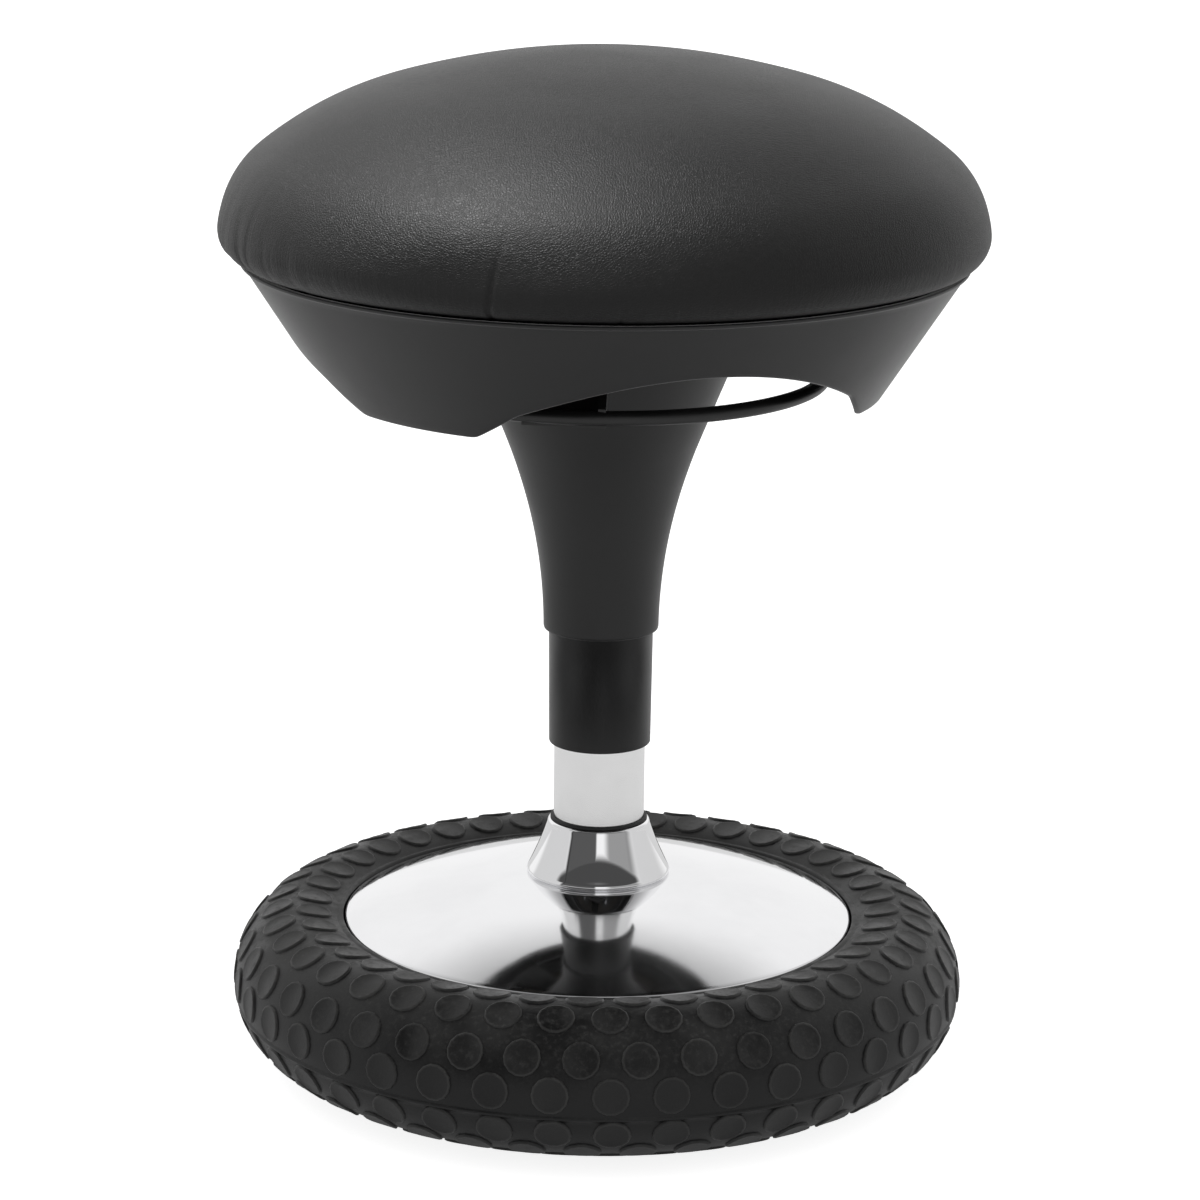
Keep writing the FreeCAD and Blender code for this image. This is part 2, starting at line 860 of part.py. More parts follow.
def make_cylinder():
    pin_bore = s.pin_radius + s.running_gap
    return turned_piece(
        "gas_cylinder",
        [
            (s.rod_radius + s.running_gap, 0),
            (s.cylinder_radius - 1.0, 0),
            (s.cylinder_radius, 1.0),
            (s.cylinder_radius, cone_start_local),
            (s.cone_top_radius, cylinder_length),
            (pin_bore, cylinder_length),
            (pin_bore, cylinder_length - s.valve_block),
            (s.cylinder_bore, cylinder_length - s.valve_block),
            (s.cylinder_bore, s.cylinder_cap),
            (s.rod_radius + s.running_gap, s.cylinder_cap),
        ],
        lift=s.cylinder_foot,
    )


cone_end = s.cone_start + s.cone_length
hub_top = s.board_height - s.loose_gap
hub_foot = hub_top - s.hub_thick


def make_pin():
    foot = cone_end - s.valve_block
    length = hub_foot - s.running_gap * 4.0 - foot
    middle = s.pin_radius * 0.6
    return turned_piece(
        "release_pin",
        [
            (0, 0),
            (s.pin_radius, 0),
            (s.pin_radius, length - 1.0),
            (0, length, (middle, length - dome_drop(s.pin_radius, Size(1.0), middle))),
        ],
        lift=foot,
    )


# Telescopic covers: a sleeve on the tube, and the trumpet that hangs from the taper socket.
def make_sleeve():
    bore = s.tube_radius + s.loose_gap
    flange_foot = s.trumpet_foot + s.trumpet_lip + s.loose_gap - s.sleeve_foot
    length = flange_foot + s.sleeve_flange_thick
    flange = s.sleeve_top_radius + s.sleeve_flange
    return turned_piece(
        "mid_sleeve",
        [
            (bore, 0.5),
            (bore + 0.5, 0),
            (s.sleeve_foot_radius - 1.0, 0),
            (s.sleeve_foot_radius, 1.0, (s.sleeve_foot_radius - 0.3, 0.3)),
            (s.sleeve_top_radius, flange_foot),
            (flange, flange_foot),
            (flange, length),
            (bore, length),
        ],
        lift=s.sleeve_foot,
    )


def trumpet_side(inset):
    """Corners up the trumpet's side to its mouth, moved in by an inset, each arc with its middle."""
    foot_run = s.trumpet_waist - s.trumpet_foot
    grow = s.trumpet_waist_radius - s.trumpet_foot_radius
    lower = (s.trumpet_foot_radius + grow * 0.25 - inset, foot_run * 0.5)
    flare_rise = s.trumpet_flare - s.trumpet_waist
    spread = s.trumpet_flare_radius - s.trumpet_waist_radius
    upper = (s.trumpet_waist_radius + spread * 0.46 - inset, foot_run + flare_rise * 0.5)
    return [
        (s.trumpet_waist_radius - inset, foot_run, lower),
        (s.trumpet_flare_radius - inset, foot_run + flare_rise, upper),
        (s.trumpet_mouth_radius - inset, s.trumpet_mouth - s.trumpet_foot),
    ]


def make_trumpet():
    outside = trumpet_side(Size(0))
    inside = trumpet_side(s.trumpet_wall)
    lip = s.sleeve_top_radius + s.loose_gap
    foot_in = s.sleeve_top_radius + s.sleeve_flange + s.loose_gap
    web = s.trumpet_web - s.trumpet_foot
    collar = s.socket_radius + s.running_gap
    cone_rise = s.trumpet_mouth - s.trumpet_flare
    lean = (s.trumpet_mouth_radius - s.trumpet_flare_radius) / cone_rise
    web_edge = s.trumpet_mouth_radius - s.trumpet_wall - (s.trumpet_mouth - s.trumpet_web) * lean
    return turned_piece(
        "trumpet_cover",
        [
            (lip, 0.4),
            (lip + 0.4, 0),
            (s.trumpet_foot_radius - 1.2, 0),
            (s.trumpet_foot_radius, 1.4, (s.trumpet_foot_radius - 0.35, 0.4)),
            *outside,
            inside[2],
            (web_edge + s.trumpet_wall * lean, web + s.trumpet_wall),
            (collar + s.trumpet_wall, web + s.trumpet_wall),
            (collar + s.trumpet_wall, web + s.trumpet_wall * 2.0),
            (collar, web + s.trumpet_wall * 2.0),
            (collar, web),
            (web_edge, web),
            inside[1][:2],
            (*inside[0][:2], inside[1][2]),
            (foot_in, s.trumpet_lip + 7.0, (inside[0][2][0] + 0.3, inside[0][2][1] + 6.0)),
            (foot_in, s.trumpet_lip),
            (lip, s.trumpet_lip),
        ],
        lift=s.trumpet_foot,
    )


# Seat bracket: a turned taper socket welded into a pressed pan with three arms.
def cone_radius(height):
    """Radius of the gas spring's taper at a height."""
    return s.cylinder_radius - (s.cylinder_radius - s.cone_top_radius) * (height - s.cone_start) / s.cone_length


def make_socket():
    foot = s.socket_foot
    top = s.bracket_floor + s.bracket_sheet + 1.5
    return turned_piece(
        "taper_socket",
        [
            (s.cylinder_radius + 0.2, foot),
            (s.socket_radius, foot),
            (s.socket_radius, top - 1.0),
            (s.socket_radius - 1.0, top),
            (cone_radius(top), top),
            (cone_radius(s.cone_start), s.cone_start),
            (s.cylinder_radius + 0.2, s.cone_start),
        ],
    )


def window_outline(half, near, far):
    """Corners of a wedge-shaped window between two radii, spread to both sides of the front."""
    near_x, near_y = round_points(near, half)
    far_x, far_y = round_points(far, half)
    return [(-near_x, near_y), (-far_x, far_y), (far_x, far_y), (near_x, near_y)]


def make_bracket():
    low = s.bracket_floor
    high = s.board_height - s.bracket_sheet
    wall = s.bracket_sheet * 1.1
    body = turned_piece(
        "seat_bracket",
        [
            (s.socket_radius + s.running_gap, low),
            (s.bracket_floor_radius, low),
            (s.bracket_wall_radius, high),
            (s.bracket_radius, high),
            (s.bracket_radius, s.board_height),
            (s.bracket_wall_radius - wall * 0.5, s.board_height),
            (s.bracket_floor_radius - wall * 0.5, low + s.bracket_sheet),
            (s.socket_radius + s.running_gap, low + s.bracket_sheet),
        ],
    )
    sketch = new_sketch(body, "bracket_window_outline", "XY_Plane", s.board_height + 1.0)
    sketch.AttachmentOffset = FreeCAD.Placement(
        Vector(0, 0, s.board_height.value + 1.0), FreeCAD.Rotation(Vector(0, 0, 1), s.spoke_turn.value)
    )
    sketch.setExpression("AttachmentOffset.Rotation.Angle", s.spoke_turn.formula)
    near = s.bracket_floor_radius + 1.0
    draw(sketch, window_outline(s.bracket_window, near, s.bracket_radius + 20.0))
    window = body.newObject("PartDesign::Pocket", "bracket_window_cut")
    window.Profile = sketch
    bind_length(window, s.board_height + 2.0 - low)
    spin_copies(body, window, s.lobes)
    for side in (-1, 1):
        turn = s.spoke_turn + 60.0 + s.bolt_spread * side
        x, y = round_points(s.bolt_circle, turn)
        name = "bracket_bolt_hole_" + ("left" if side < 0 else "right")
        hole = cut_down(
            body,
            name,
            s.board_height + 1.0,
            [(x, y, s.bolt_radius + s.running_gap)],
            s.bracket_sheet + 2.0,
        )
        spin_copies(body, hole, s.lobes)
    return body


def bolt_turns(first, spread):
    """Turns of a pair of fasteners on each of the three arms or lobes."""
    turns = []
    for lobe in range(int(s.lobes.value)):
        centre = first + 360 / s.lobes.value * lobe
        turns += [centre - spread, centre + spread]
    return turns


def make_bracket_bolts():
    head_height = Size(3.0)
    length = s.bracket_sheet + s.board_thick - 2.0
    shape = screw_shape(s.bolt_radius, length, s.bolt_head, head_height, s.bolt_radius * 0.8)
    seat = s.board_height - s.bracket_sheet
    turns = bolt_turns(s.spoke_turn.value + 60, s.bolt_spread.value)
    return set_copies("bracket_bolts", shape, ring_spots(s.bolt_circle, turns, seat))


nut_sheet = Size(1.4)


def make_tee_nuts():
    inner = s.bolt_radius + s.running_gap
    barrel = Part.makeCylinder(s.bolt_radius.value + 1.0, s.board_thick.value - 1.0)
    flange_foot = Vector(0, 0, s.board_thick.value - nut_sheet.value)
    flange = Part.makeCylinder(s.nut_flange.value, nut_sheet.value, flange_foot)
    lift = Vector(0, 0, 1.0)
    barrel.translate(lift)
    shape = barrel.fuse(flange)
    shape = shape.cut(Part.makeCylinder(inner.value, s.board_thick.value + 2.0)).removeSplitter()
    turns = bolt_turns(s.spoke_turn.value + 60, s.bolt_spread.value)
    return set_copies("tee_nuts", shape, ring_spots(s.bolt_circle, turns, s.board_height))


# Ring lever: a bent rod held by a moulded spider whose hub lies over the release pin.

def spoke_section(body, name, distance, height, half, depth):
    """Draw the channel section of a spoke on an upright plane at a distance in front of the axis."""
    sketch = new_sketch(body, name, "XZ_Plane")
    distance = as_size(distance)
    turned = FreeCAD.Rotation(Vector(0, 1, 0), s.spoke_turn.value)
    back = turned.multVec(Vector(0, 0, distance.value))
    sketch.AttachmentOffset = FreeCAD.Placement(back, turned)
    sketch.setExpression("AttachmentOffset.Rotation.Angle", s.spoke_turn.formula)
    across = distance * sine(s.spoke_turn)
    along = distance * cosine(s.spoke_turn)
    sketch.setExpression("AttachmentOffset.Base.x", across.formula)
    sketch.setExpression("AttachmentOffset.Base.z", along.formula)
    low = height - depth * 0.5
    high = height + depth * 0.5
    channel = half - s.spoke_wall
    draw(
        sketch,
        [
            (-half, low),
            (half, low),
            (half, high),
            (channel, high),
            (channel, low + s.spoke_floor),
            (-channel, low + s.spoke_floor),
            (-channel, high),
            (-half, high),
        ],
    )
    return sketch


def make_spider():
    body = turned_piece(
        "lever_spider",
        [
            (0, hub_foot),
            (s.hub_radius, hub_foot),
            (s.hub_radius, hub_top - 0.8),
            (s.hub_radius - 0.8, hub_top),
            (0, hub_top),
        ],
    )
    outer_distance = s.ring_radius
    inner_distance = s.hub_radius - 6.0
    depth = s.spoke_depth
    outer = spoke_section(body, "spoke_outer_outline", outer_distance, s.ring_height, s.spoke_half, depth)
    inner_depth = s.hub_thick + 2.0
    inner_height = hub_top - inner_depth * 0.5
    inner = spoke_section(
        body, "spoke_inner_outline", inner_distance, inner_height, s.spoke_inner_half, inner_depth
    )
    spoke = body.newObject("PartDesign::AdditiveLoft", "spoke")
    spoke.Profile = outer
    spoke.Sections = [inner]
    spoke.Ruled = True
    spin_copies(body, spoke, s.lobes)
    sketch = new_sketch(body, "rod_channel_outline", "XZ_Plane")
    draw_circle(sketch, s.ring_radius, s.ring_height, s.ring_rod)
    channel = body.newObject("PartDesign::Groove", "rod_channel")
    channel.Profile = sketch
    channel.ReferenceAxis = (sketch, ["V_Axis"])
    channel.Angle = 360
    doc.recompute()
    return body


def make_ring():
    body = new_body("release_ring")
    sketch = new_sketch(body, "ring_section", "XZ_Plane")
    draw_circle(sketch, s.ring_radius, 0, s.ring_rod)
    ring = body.newObject("PartDesign::Revolution", "ring_turn")
    ring.Profile = sketch
    ring.ReferenceAxis = (sketch, ["V_Axis"])
    ring.Angle = 360
    body.Placement = FreeCAD.Placement(Vector(0, 0, s.ring_height.value), FreeCAD.Rotation())
    body.setExpression("Placement.Base.z", s.ring_height.formula)
    doc.recompute()
    return body


# Seat shell: a thin conical skirt under a flat deck, cut by three broad arches into three lobes.
shell_wall_run = s.shell_top_radius - s.shell_step - s.shell_foot_radius
shell_wall_rise = s.shell_top - s.shell_lip - s.shell_foot


def skirt_radius(height):
    """Outside radius of the skirt at a height."""
    return s.shell_foot_radius + shell_wall_run * (height - s.shell_foot) / shell_wall_rise


def arch_outline():
    """Corners of an arch cutter: straight legs that lean in, and one broad arc over the top."""
    leg_run = s.arch_half - s.arch_shoulder_half
    shoulder = s.shell_foot + s.arch_shoulder
    foot = s.shell_foot - s.arch_shoulder
    wide = s.arch_half + leg_run
    return [
        (-wide, foot),
        (wide, foot),
        (s.arch_shoulder_half, shoulder),
        (-s.arch_shoulder_half, shoulder, (0, s.shell_foot + s.arch_rise)),
    ]


def make_shell():
    deck_top = s.board_height - s.cover_sheet - s.loose_gap
    deck_foot = deck_top - s.shell_deck
    band_foot = s.shell_top - s.shell_lip
    body = turned_piece(
        "seat_shell",
        [
            (s.shell_foot_radius - s.shell_wall + 0.8, s.shell_foot),
            (s.shell_foot_radius - 0.8, s.shell_foot),
            (s.shell_foot_radius, s.shell_foot + 0.8, (s.shell_foot_radius - 0.2, s.shell_foot + 0.2)),
            (s.shell_top_radius - s.shell_step, band_foot),
            (s.shell_top_radius - 0.5, band_foot + 0.5),
            (s.shell_top_radius, s.shell_top),
            (s.shell_top_radius - s.shell_wall, s.shell_top),
            (s.shell_top_radius - s.shell_wall - 0.6, deck_top),
            (s.shell_deck_radius, deck_top),
            (s.shell_deck_radius, deck_foot),
            (skirt_radius(deck_foot) - s.shell_wall, deck_foot),
            (s.shell_foot_radius - s.shell_wall, s.shell_foot + 0.8),
        ],
    )
    corner = skirt_radius(deck_foot) - s.shell_wall * 0.5
    low = deck_foot - s.gusset_drop
    gusset = rib_between(
        body,
        "skirt_gusset",
        [
            (corner - s.gusset_run, deck_foot + s.shell_deck * 0.5),
            (corner, deck_foot + s.shell_deck * 0.5),
            (skirt_radius(low) - s.shell_wall * 0.5, low),
        ],
        s.gusset_thick,
    )
    spin_copies(body, gusset, s.gussets)
    sketch = new_sketch(body, "arch_cutter", "XZ_Plane", turn=s.arch_turn)
    draw(sketch, arch_outline())
    arch = body.newObject("PartDesign::Pocket", "arch")
    arch.Profile = sketch
    arch.Reversed = True
    bind_length(arch, s.shell_top_radius + 10.0)
    spin_copies(body, arch, s.lobes)
    for side in (-1, 1):
        turn = s.arch_turn + 60.0 + s.shell_screw_spread * side
        x, y = round_points(s.shell_screw_circle, turn)
        name = "shell_screw_hole_" + ("left" if side < 0 else "right")
        hole = cut_down(body, name, deck_top + 1.0, [(x, y, s.screw_radius + s.running_gap)], s.shell_deck + 2.0)
        spin_copies(body, hole, s.lobes)
    return body


def make_shell_screws():
    deck_foot = s.board_height - s.cover_sheet - s.loose_gap - s.shell_deck
    length = s.board_height + s.board_thick - 3.0 - deck_foot
    shape = screw_shape(s.screw_radius, length, s.screw_head, Size(2.2), s.screw_radius * 0.8)
    turns = bolt_turns(s.arch_turn.value + 60, s.shell_screw_spread.value)
    return set_copies("shell_screws", shape, ring_spots(s.shell_screw_circle, turns, deck_foot))


# Seat board with its blind nut seats and screw pilots.
def make_board():
    body = turned_piece(
        "seat_board",
        [
            (0, 0),
            (s.board_radius - 1.5, 0),
            (s.board_radius, 1.5),
            (s.board_radius, s.board_thick - 1.5),
            (s.board_radius - 1.5, s.board_thick),
            (0, s.board_thick),
        ],
        lift=s.board_height,
    )
    for side in (-1, 1):
        turn = s.spoke_turn + 60.0 + s.bolt_spread * side
        x, y = round_points(s.bolt_circle, turn)
        word = "left" if side < 0 else "right"
        barrel = s.bolt_radius + 1.0 + s.running_gap
        hole = cut_down(body, "nut_hole_" + word, s.board_thick, [(x, y, barrel)], s.board_thick + 1.0)
        spin_copies(body, hole, s.lobes)
        flange = s.nut_flange + s.running_gap
        seat = cut_down(body, "nut_seat_" + word, s.board_thick, [(x, y, flange)], nut_sheet)
        spin_copies(body, seat, s.lobes)
        turn = s.arch_turn + 60.0 + s.shell_screw_spread * side
        x, y = round_points(s.shell_screw_circle, turn)
        pilot = cut_down(
            body,
            "pilot_" + word,
            s.board_thick - 2.0,
            [(x, y, s.screw_radius + s.running_gap)],
            s.board_thick,
        )
        spin_copies(body, pilot, s.lobes)
    return body


# Cushion: a foam core that wraps the board's edge, under a leather cover that is turned in below it.
seat_line = s.shell_top + s.cushion_seat_gap


def cushion_outside(inset):
    """Corners up the cushion's side and over its crown, moved in by an inset."""
    waist = s.cushion_waist
    rise = s.cushion_shoulder - waist
    shoulder = s.cushion_radius - s.cushion_shoulder_radius
    crown_run = s.cushion_shoulder_radius - s.cushion_crown_radius
    crown_rise = s.cushion_crown - s.cushion_shoulder
    roll_low = waist - seat_line
    top_run = s.cushion_crown_radius - inset * 0.3
    top_rise = s.cushion_top - s.cushion_crown
    top_middle = s.cushion_crown_radius * 0.56
    return [
        (
            s.cushion_radius - inset,
            waist,
            (s.cushion_radius - 4.9 - inset, seat_line + roll_low * 0.22 + inset),
        ),
        (
            s.cushion_shoulder_radius - inset * 0.7,
            s.cushion_shoulder - inset * 0.7,
            (s.cushion_radius - shoulder * 0.28 - inset * 0.9, waist + rise * 0.515 - inset * 0.4),
        ),
        (
            s.cushion_crown_radius - inset * 0.3,
            s.cushion_crown - inset,
            (s.cushion_crown_radius + crown_run * 0.565, s.cushion_crown - crown_rise * 0.422 - inset * 0.9),
        ),
        (
            0,
            s.cushion_top - inset,
            (top_middle, s.cushion_top - dome_drop(top_run, top_rise, top_middle) - inset),
        ),
    ]


def make_cover():
    sheet_thick = s.cover_sheet
    outer = cushion_outside(Size(0))
    inner = cushion_outside(sheet_thick)
    edge = s.board_radius + s.loose_gap
    turn_in = s.board_radius - s.cover_turn_in
    low = s.board_height - sheet_thick
    return turned_piece(
        "cushion_cover",
        [
            (turn_in, low),
            (edge + sheet_thick, low),
            (edge + sheet_thick + 1.2, seat_line),
            *outer,
            (0, inner[3][1]),
            (inner[2][0], inner[2][1], inner[3][2]),
            (inner[1][0], inner[1][1], inner[2][2]),
            (inner[0][0], inner[0][1], inner[1][2]),
            (edge + 1.0, seat_line + sheet_thick, inner[0][2]),
            (edge, s.board_height),
            (turn_in, s.board_height),
        ],
    )


def make_foam():
    inset = s.cover_sheet + s.loose_gap
    outer = cushion_outside(inset)
    edge = s.board_radius + s.loose_gap
    return turned_piece(
        "foam_core",
        [
            (0, s.board_height + s.board_thick),
            (edge, s.board_height + s.board_thick),
            (edge + 0.6, seat_line + inset + 1.0),
            *outer,
        ],
    )


def make_all():
    """Build every piece in the order in which the stool is put together."""
    make_tyre()
    make_core()
    make_dome()
    make_bell()
    make_seal()
    make_counterweight()
    make_pan()
    make_pan_screws()
    make_web_nuts()
    make_tube()
    make_bush()
    make_washer("bearing_washer_lower", bearing_foot)
    make_balls()
    make_washer("bearing_washer_upper", bearing_top - s.washer_thick)
    make_rod()
    make_clip()
    make_cylinder()
    make_pin()
    make_sleeve()
    make_trumpet()
    make_socket()
    make_bracket()
    make_bracket_bolts()
    make_tee_nuts()
    make_spider()
    make_ring()
    make_shell()
    make_shell_screws()
    make_board()
    make_foam()
    make_cover()


def check_and_write():
    """Stop on any failed object or bad shape, then write each piece to its own file."""
    doc.recompute()
    for item in doc.Objects:
        troubles = [word for word in item.State if word in ("Invalid", "Error")]
        if troubles:
            raise RuntimeError("%s is %s" % (item.Name, troubles))
    pieces = [
        item
        for item in doc.Objects
        if item.TypeId in ("PartDesign::Body", "Part::Feature") and item.getParentGeoFeatureGroup() is None
    ]
    for piece in pieces:
        if piece.Shape.isNull() or not piece.Shape.isValid():
            raise RuntimeError("%s has no valid shape" % piece.Label)
    os.makedirs("parts", exist_ok=True)
    for piece in pieces:
        shape = piece.Shape
        shape.exportStep(os.path.join("parts", piece.Label + ".step"))
        box = shape.BoundBox
        low = "%.1f %.1f %.1f" % (box.XMin, box.YMin, box.ZMin)
        high = "%.1f %.1f %.1f" % (box.XMax, box.YMax, box.ZMax)
        print("%-22s solids %d volume %.0f" % (piece.Label, len(shape.Solids), shape.Volume))
        print("    box from", low, "to", high)
    print("pieces", len(pieces))


make_all()
check_and_write()
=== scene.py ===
# %% [markdown]
# # A wobble stool, dressed in Blender
# The construction model gives every piece its place and its joints. This file makes the surfaces that
# the eye meets: padded leather, grained plastic, mirror-bright metal and studded rubber. It starts by
# loading the construction model, whose frame (metres, +Z up, front along -Y) everything here shares.

# %% Load the construction model
import math

import bpy
import numpy as np
from mathutils import Matrix, Vector


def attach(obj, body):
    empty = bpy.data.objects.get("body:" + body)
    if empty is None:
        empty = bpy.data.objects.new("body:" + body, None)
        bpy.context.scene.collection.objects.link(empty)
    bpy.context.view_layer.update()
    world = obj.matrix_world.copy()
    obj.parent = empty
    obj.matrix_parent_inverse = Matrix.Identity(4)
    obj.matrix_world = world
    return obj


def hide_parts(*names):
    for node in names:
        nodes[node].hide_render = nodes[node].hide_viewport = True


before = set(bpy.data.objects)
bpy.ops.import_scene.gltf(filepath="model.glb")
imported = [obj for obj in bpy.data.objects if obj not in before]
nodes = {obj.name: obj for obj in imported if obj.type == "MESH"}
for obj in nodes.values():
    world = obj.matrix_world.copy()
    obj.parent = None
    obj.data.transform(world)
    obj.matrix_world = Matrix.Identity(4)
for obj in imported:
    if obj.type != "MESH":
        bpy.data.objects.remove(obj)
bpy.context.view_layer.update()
print("construction pieces:", len(nodes))

# %% [markdown]
# ## Camera
# The photograph is a long-lens view from a little above. The focal length, height and tilt below were
# fitted to the circles of foot, ring and seat, so the picture's edges fall where the photograph's do.

# %% Camera
CAMERA_PLACE = (0.0, -2.2483, 0.85305)
CAMERA_PITCH = math.radians(14.683)
CAMERA_ROLL = math.radians(0.698)
IMAGE_WIDTH = 1200
FOCAL_PIXELS = 4255.0
SIDE_SHIFT = -1.31

camera_data = bpy.data.cameras.new("camera")
camera_data.sensor_width = 36.0
camera_data.lens = FOCAL_PIXELS / IMAGE_WIDTH * 36.0
camera_data.shift_x = SIDE_SHIFT / IMAGE_WIDTH
camera_data.clip_start = 0.05
camera = bpy.data.objects.new("camera", camera_data)
bpy.context.scene.collection.objects.link(camera)
tilt = Matrix.Rotation(math.pi / 2 - CAMERA_PITCH, 4, "X")
camera.matrix_world = Matrix.Translation(CAMERA_PLACE) @ tilt @ Matrix.Rotation(CAMERA_ROLL, 4, "Z")
bpy.context.scene.camera = camera
print("lens %.1f mm" % camera_data.lens)

# %% [markdown]
# ## Surfaces from formulas
# Most pieces of a stool are turned: a profile carried round the axis. The helpers below hold the
# profile as an array of points, carry it round as one grid and hand the grid to a mesh at once.
# The profiles are in millimetres, as on a workshop drawing, and become metres in the mesh.

# %% Mesh helpers
def mesh_piece(name, points, faces):
    """Make a smooth-shaded object at the origin from (n, 3) points in metres and a list of faces."""
    mesh = bpy.data.meshes.new(name)
    mesh.from_pydata(points.tolist(), [], faces)
    mesh.polygons.foreach_set("use_smooth", np.ones(len(mesh.polygons), bool))
    mesh.update()
    piece = bpy.data.objects.new(name, mesh)
    bpy.context.scene.collection.objects.link(piece)
    print("made", name, "with", len(mesh.polygons), "faces")
    return piece


def grid_faces(rows, columns, loop_rows=False):
    """Four-cornered faces between neighbours of a grid numbered row by row, whose columns form a loop."""
    row, column = np.meshgrid(np.arange(rows if loop_rows else rows - 1), np.arange(columns), indexing="ij")
    above = (row + 1) % rows
    beside = (column + 1) % columns
    here, over = row * columns, above * columns
    corners = [here + column, here + beside, over + beside, over + column]
    return np.stack(corners, -1).reshape(-1, 4).tolist()


def around_axis(radius, height, columns, crowd=0.0):
    """Points (radius cos a, radius sin a, height) for a full turn of a, from mm to metres. The steps are
    equal, or crowded towards the front by a share of them."""
    step = np.linspace(0, 2 * np.pi, columns, endpoint=False)
    angle = step - crowd * np.sin(step) - np.pi / 2
    radius, height = np.broadcast_arrays(np.atleast_2d(radius.T).T, np.atleast_2d(height.T).T)
    x, y = radius * np.cos(angle), radius * np.sin(angle)
    return np.stack([x, y, np.broadcast_to(height, x.shape)], -1) / 1000


def turned(name, profile, columns=192, loop=True):
    """Carry a profile of (radius, height) points round the axis. The profile climbs on the outside, so
    the faces look outwards, and a looped profile joins its last point to its first."""
    profile = np.asarray(profile, float)
    points = around_axis(profile[:, :1], profile[:, 1:], columns)
    return mesh_piece(name, points.reshape(-1, 3), grid_faces(len(profile), columns, loop))

# %% [markdown]
# A workshop profile is made of straight runs and arcs through three points. Edges are never quite sharp
# on a real piece, so every corner is eased by a small curve that starts and ends a little way off.

# %% Profile helpers
def arc_through(start, via, end, count=12):
    """Points of the circle through three points, from the first to the last. The circle's centre is
    where the two chords' perpendicular bisectors meet."""
    a, b, c = (np.asarray(point, float) for point in (start, via, end))
    sides = 2 * np.array([b - a, c - a])
    centre = np.linalg.solve(sides, [b @ b - a @ a, c @ c - a @ a])
    turn = [math.atan2(*(point - centre)[::-1]) for point in (a, b, c)]
    turn = np.unwrap(np.array(turn))
    if (turn[1] - turn[0]) * (turn[2] - turn[1]) < 0:
        turn[2] += math.copysign(2 * np.pi, turn[1] - turn[0])
    steps = np.linspace(turn[0], turn[2], count)
    return centre + np.linalg.norm(a - centre) * np.stack([np.cos(steps), np.sin(steps)], -1)


def eased(corners, reach, steps=5):
    """Round the corners of a closed outline. Each corner is replaced by a parabola that starts and ends
    at its reach, or at half a side where that is less; a reach of 0 keeps the corner."""
    corners = np.asarray(corners, float)
    reach = np.broadcast_to(np.asarray(reach, float), len(corners))
    before = np.roll(corners, 1, 0) - corners
    after = np.roll(corners, -1, 0) - corners
    out = []
    for corner, back, on, far in zip(corners, before, after, reach):
        if far == 0:
            out.append(corner[None])
            continue
        start = corner + back * min(far / np.linalg.norm(back), 0.45)
        end = corner + on * min(far / np.linalg.norm(on), 0.45)
        t = np.linspace(0, 1, steps)[:, None]
        out.append((1 - t) ** 2 * start + 2 * t * (1 - t) * corner + t**2 * end)
    return np.concatenate(out)

# %% [markdown]
# ## Finishes
# Each finish is a small node tree. Effects that several finishes share, such as grain, handling marks
# and turning lines, are node groups that are built once. They hand out masks and heights only, and the
# shader itself stays in the material. All of them read object coordinates, which are metres here.

# %% Node helpers
# Places of the colour sockets in a mix node, which has a set of sockets for every kind of value.
COLOUR_A, COLOUR_B, COLOUR_OUT = 6, 7, 2


class Wiring:
    """Short ways to add a node to a tree and to join sockets."""

    def __init__(self, tree):
        self.tree = tree

    def add(self, kind, sockets=None, **settings):
        node = self.tree.nodes.new("ShaderNode" + kind)
        for key, value in settings.items():
            setattr(node, key, value)
        for key, value in (sockets or {}).items():
            self.feed(node.inputs[key], value)
        return node

    def feed(self, socket, value):
        if isinstance(value, bpy.types.NodeSocket):
            self.tree.links.new(value, socket)
        else:
            socket.default_value = value

    def math(self, operation, first, second=0.0, clamp=False):
        return self.add("Math", {0: first, 1: second}, operation=operation, use_clamp=clamp).outputs[0]

    def ramp(self, value, low, high, to_low=0.0, to_high=1.0):
        """Carry a value smoothly from one range to another."""
        sockets = {"Value": value, "From Min": low, "From Max": high, "To Min": to_low, "To Max": to_high}
        return self.add("MapRange", sockets, interpolation_type="SMOOTHSTEP").outputs[0]

    def mix(self, factor, first, second):
        node = self.add("Mix", {"Factor": factor}, data_type="RGBA")
        self.feed(node.inputs[COLOUR_A], first)
        self.feed(node.inputs[COLOUR_B], second)
        return node.outputs[COLOUR_OUT]

    def noise(self, vector, scale, detail=3.0, rough=0.55):
        sockets = {"Vector": vector, "Scale": scale, "Detail": detail, "Roughness": rough}
        return self.add("TexNoise", sockets).outputs["Fac"]

    def bump(self, height, strength, distance):
        """The normal of a surface that is raised by a height times a distance in metres."""
        sockets = {"Strength": strength, "Distance": distance, "Height": height}
        return self.add("Bump", sockets).outputs[0]

    def use(self, group, sockets):
        node = self.add("Group", None, node_tree=group)
        for key, value in sockets.items():
            self.feed(node.inputs[key], value)
        return node.outputs


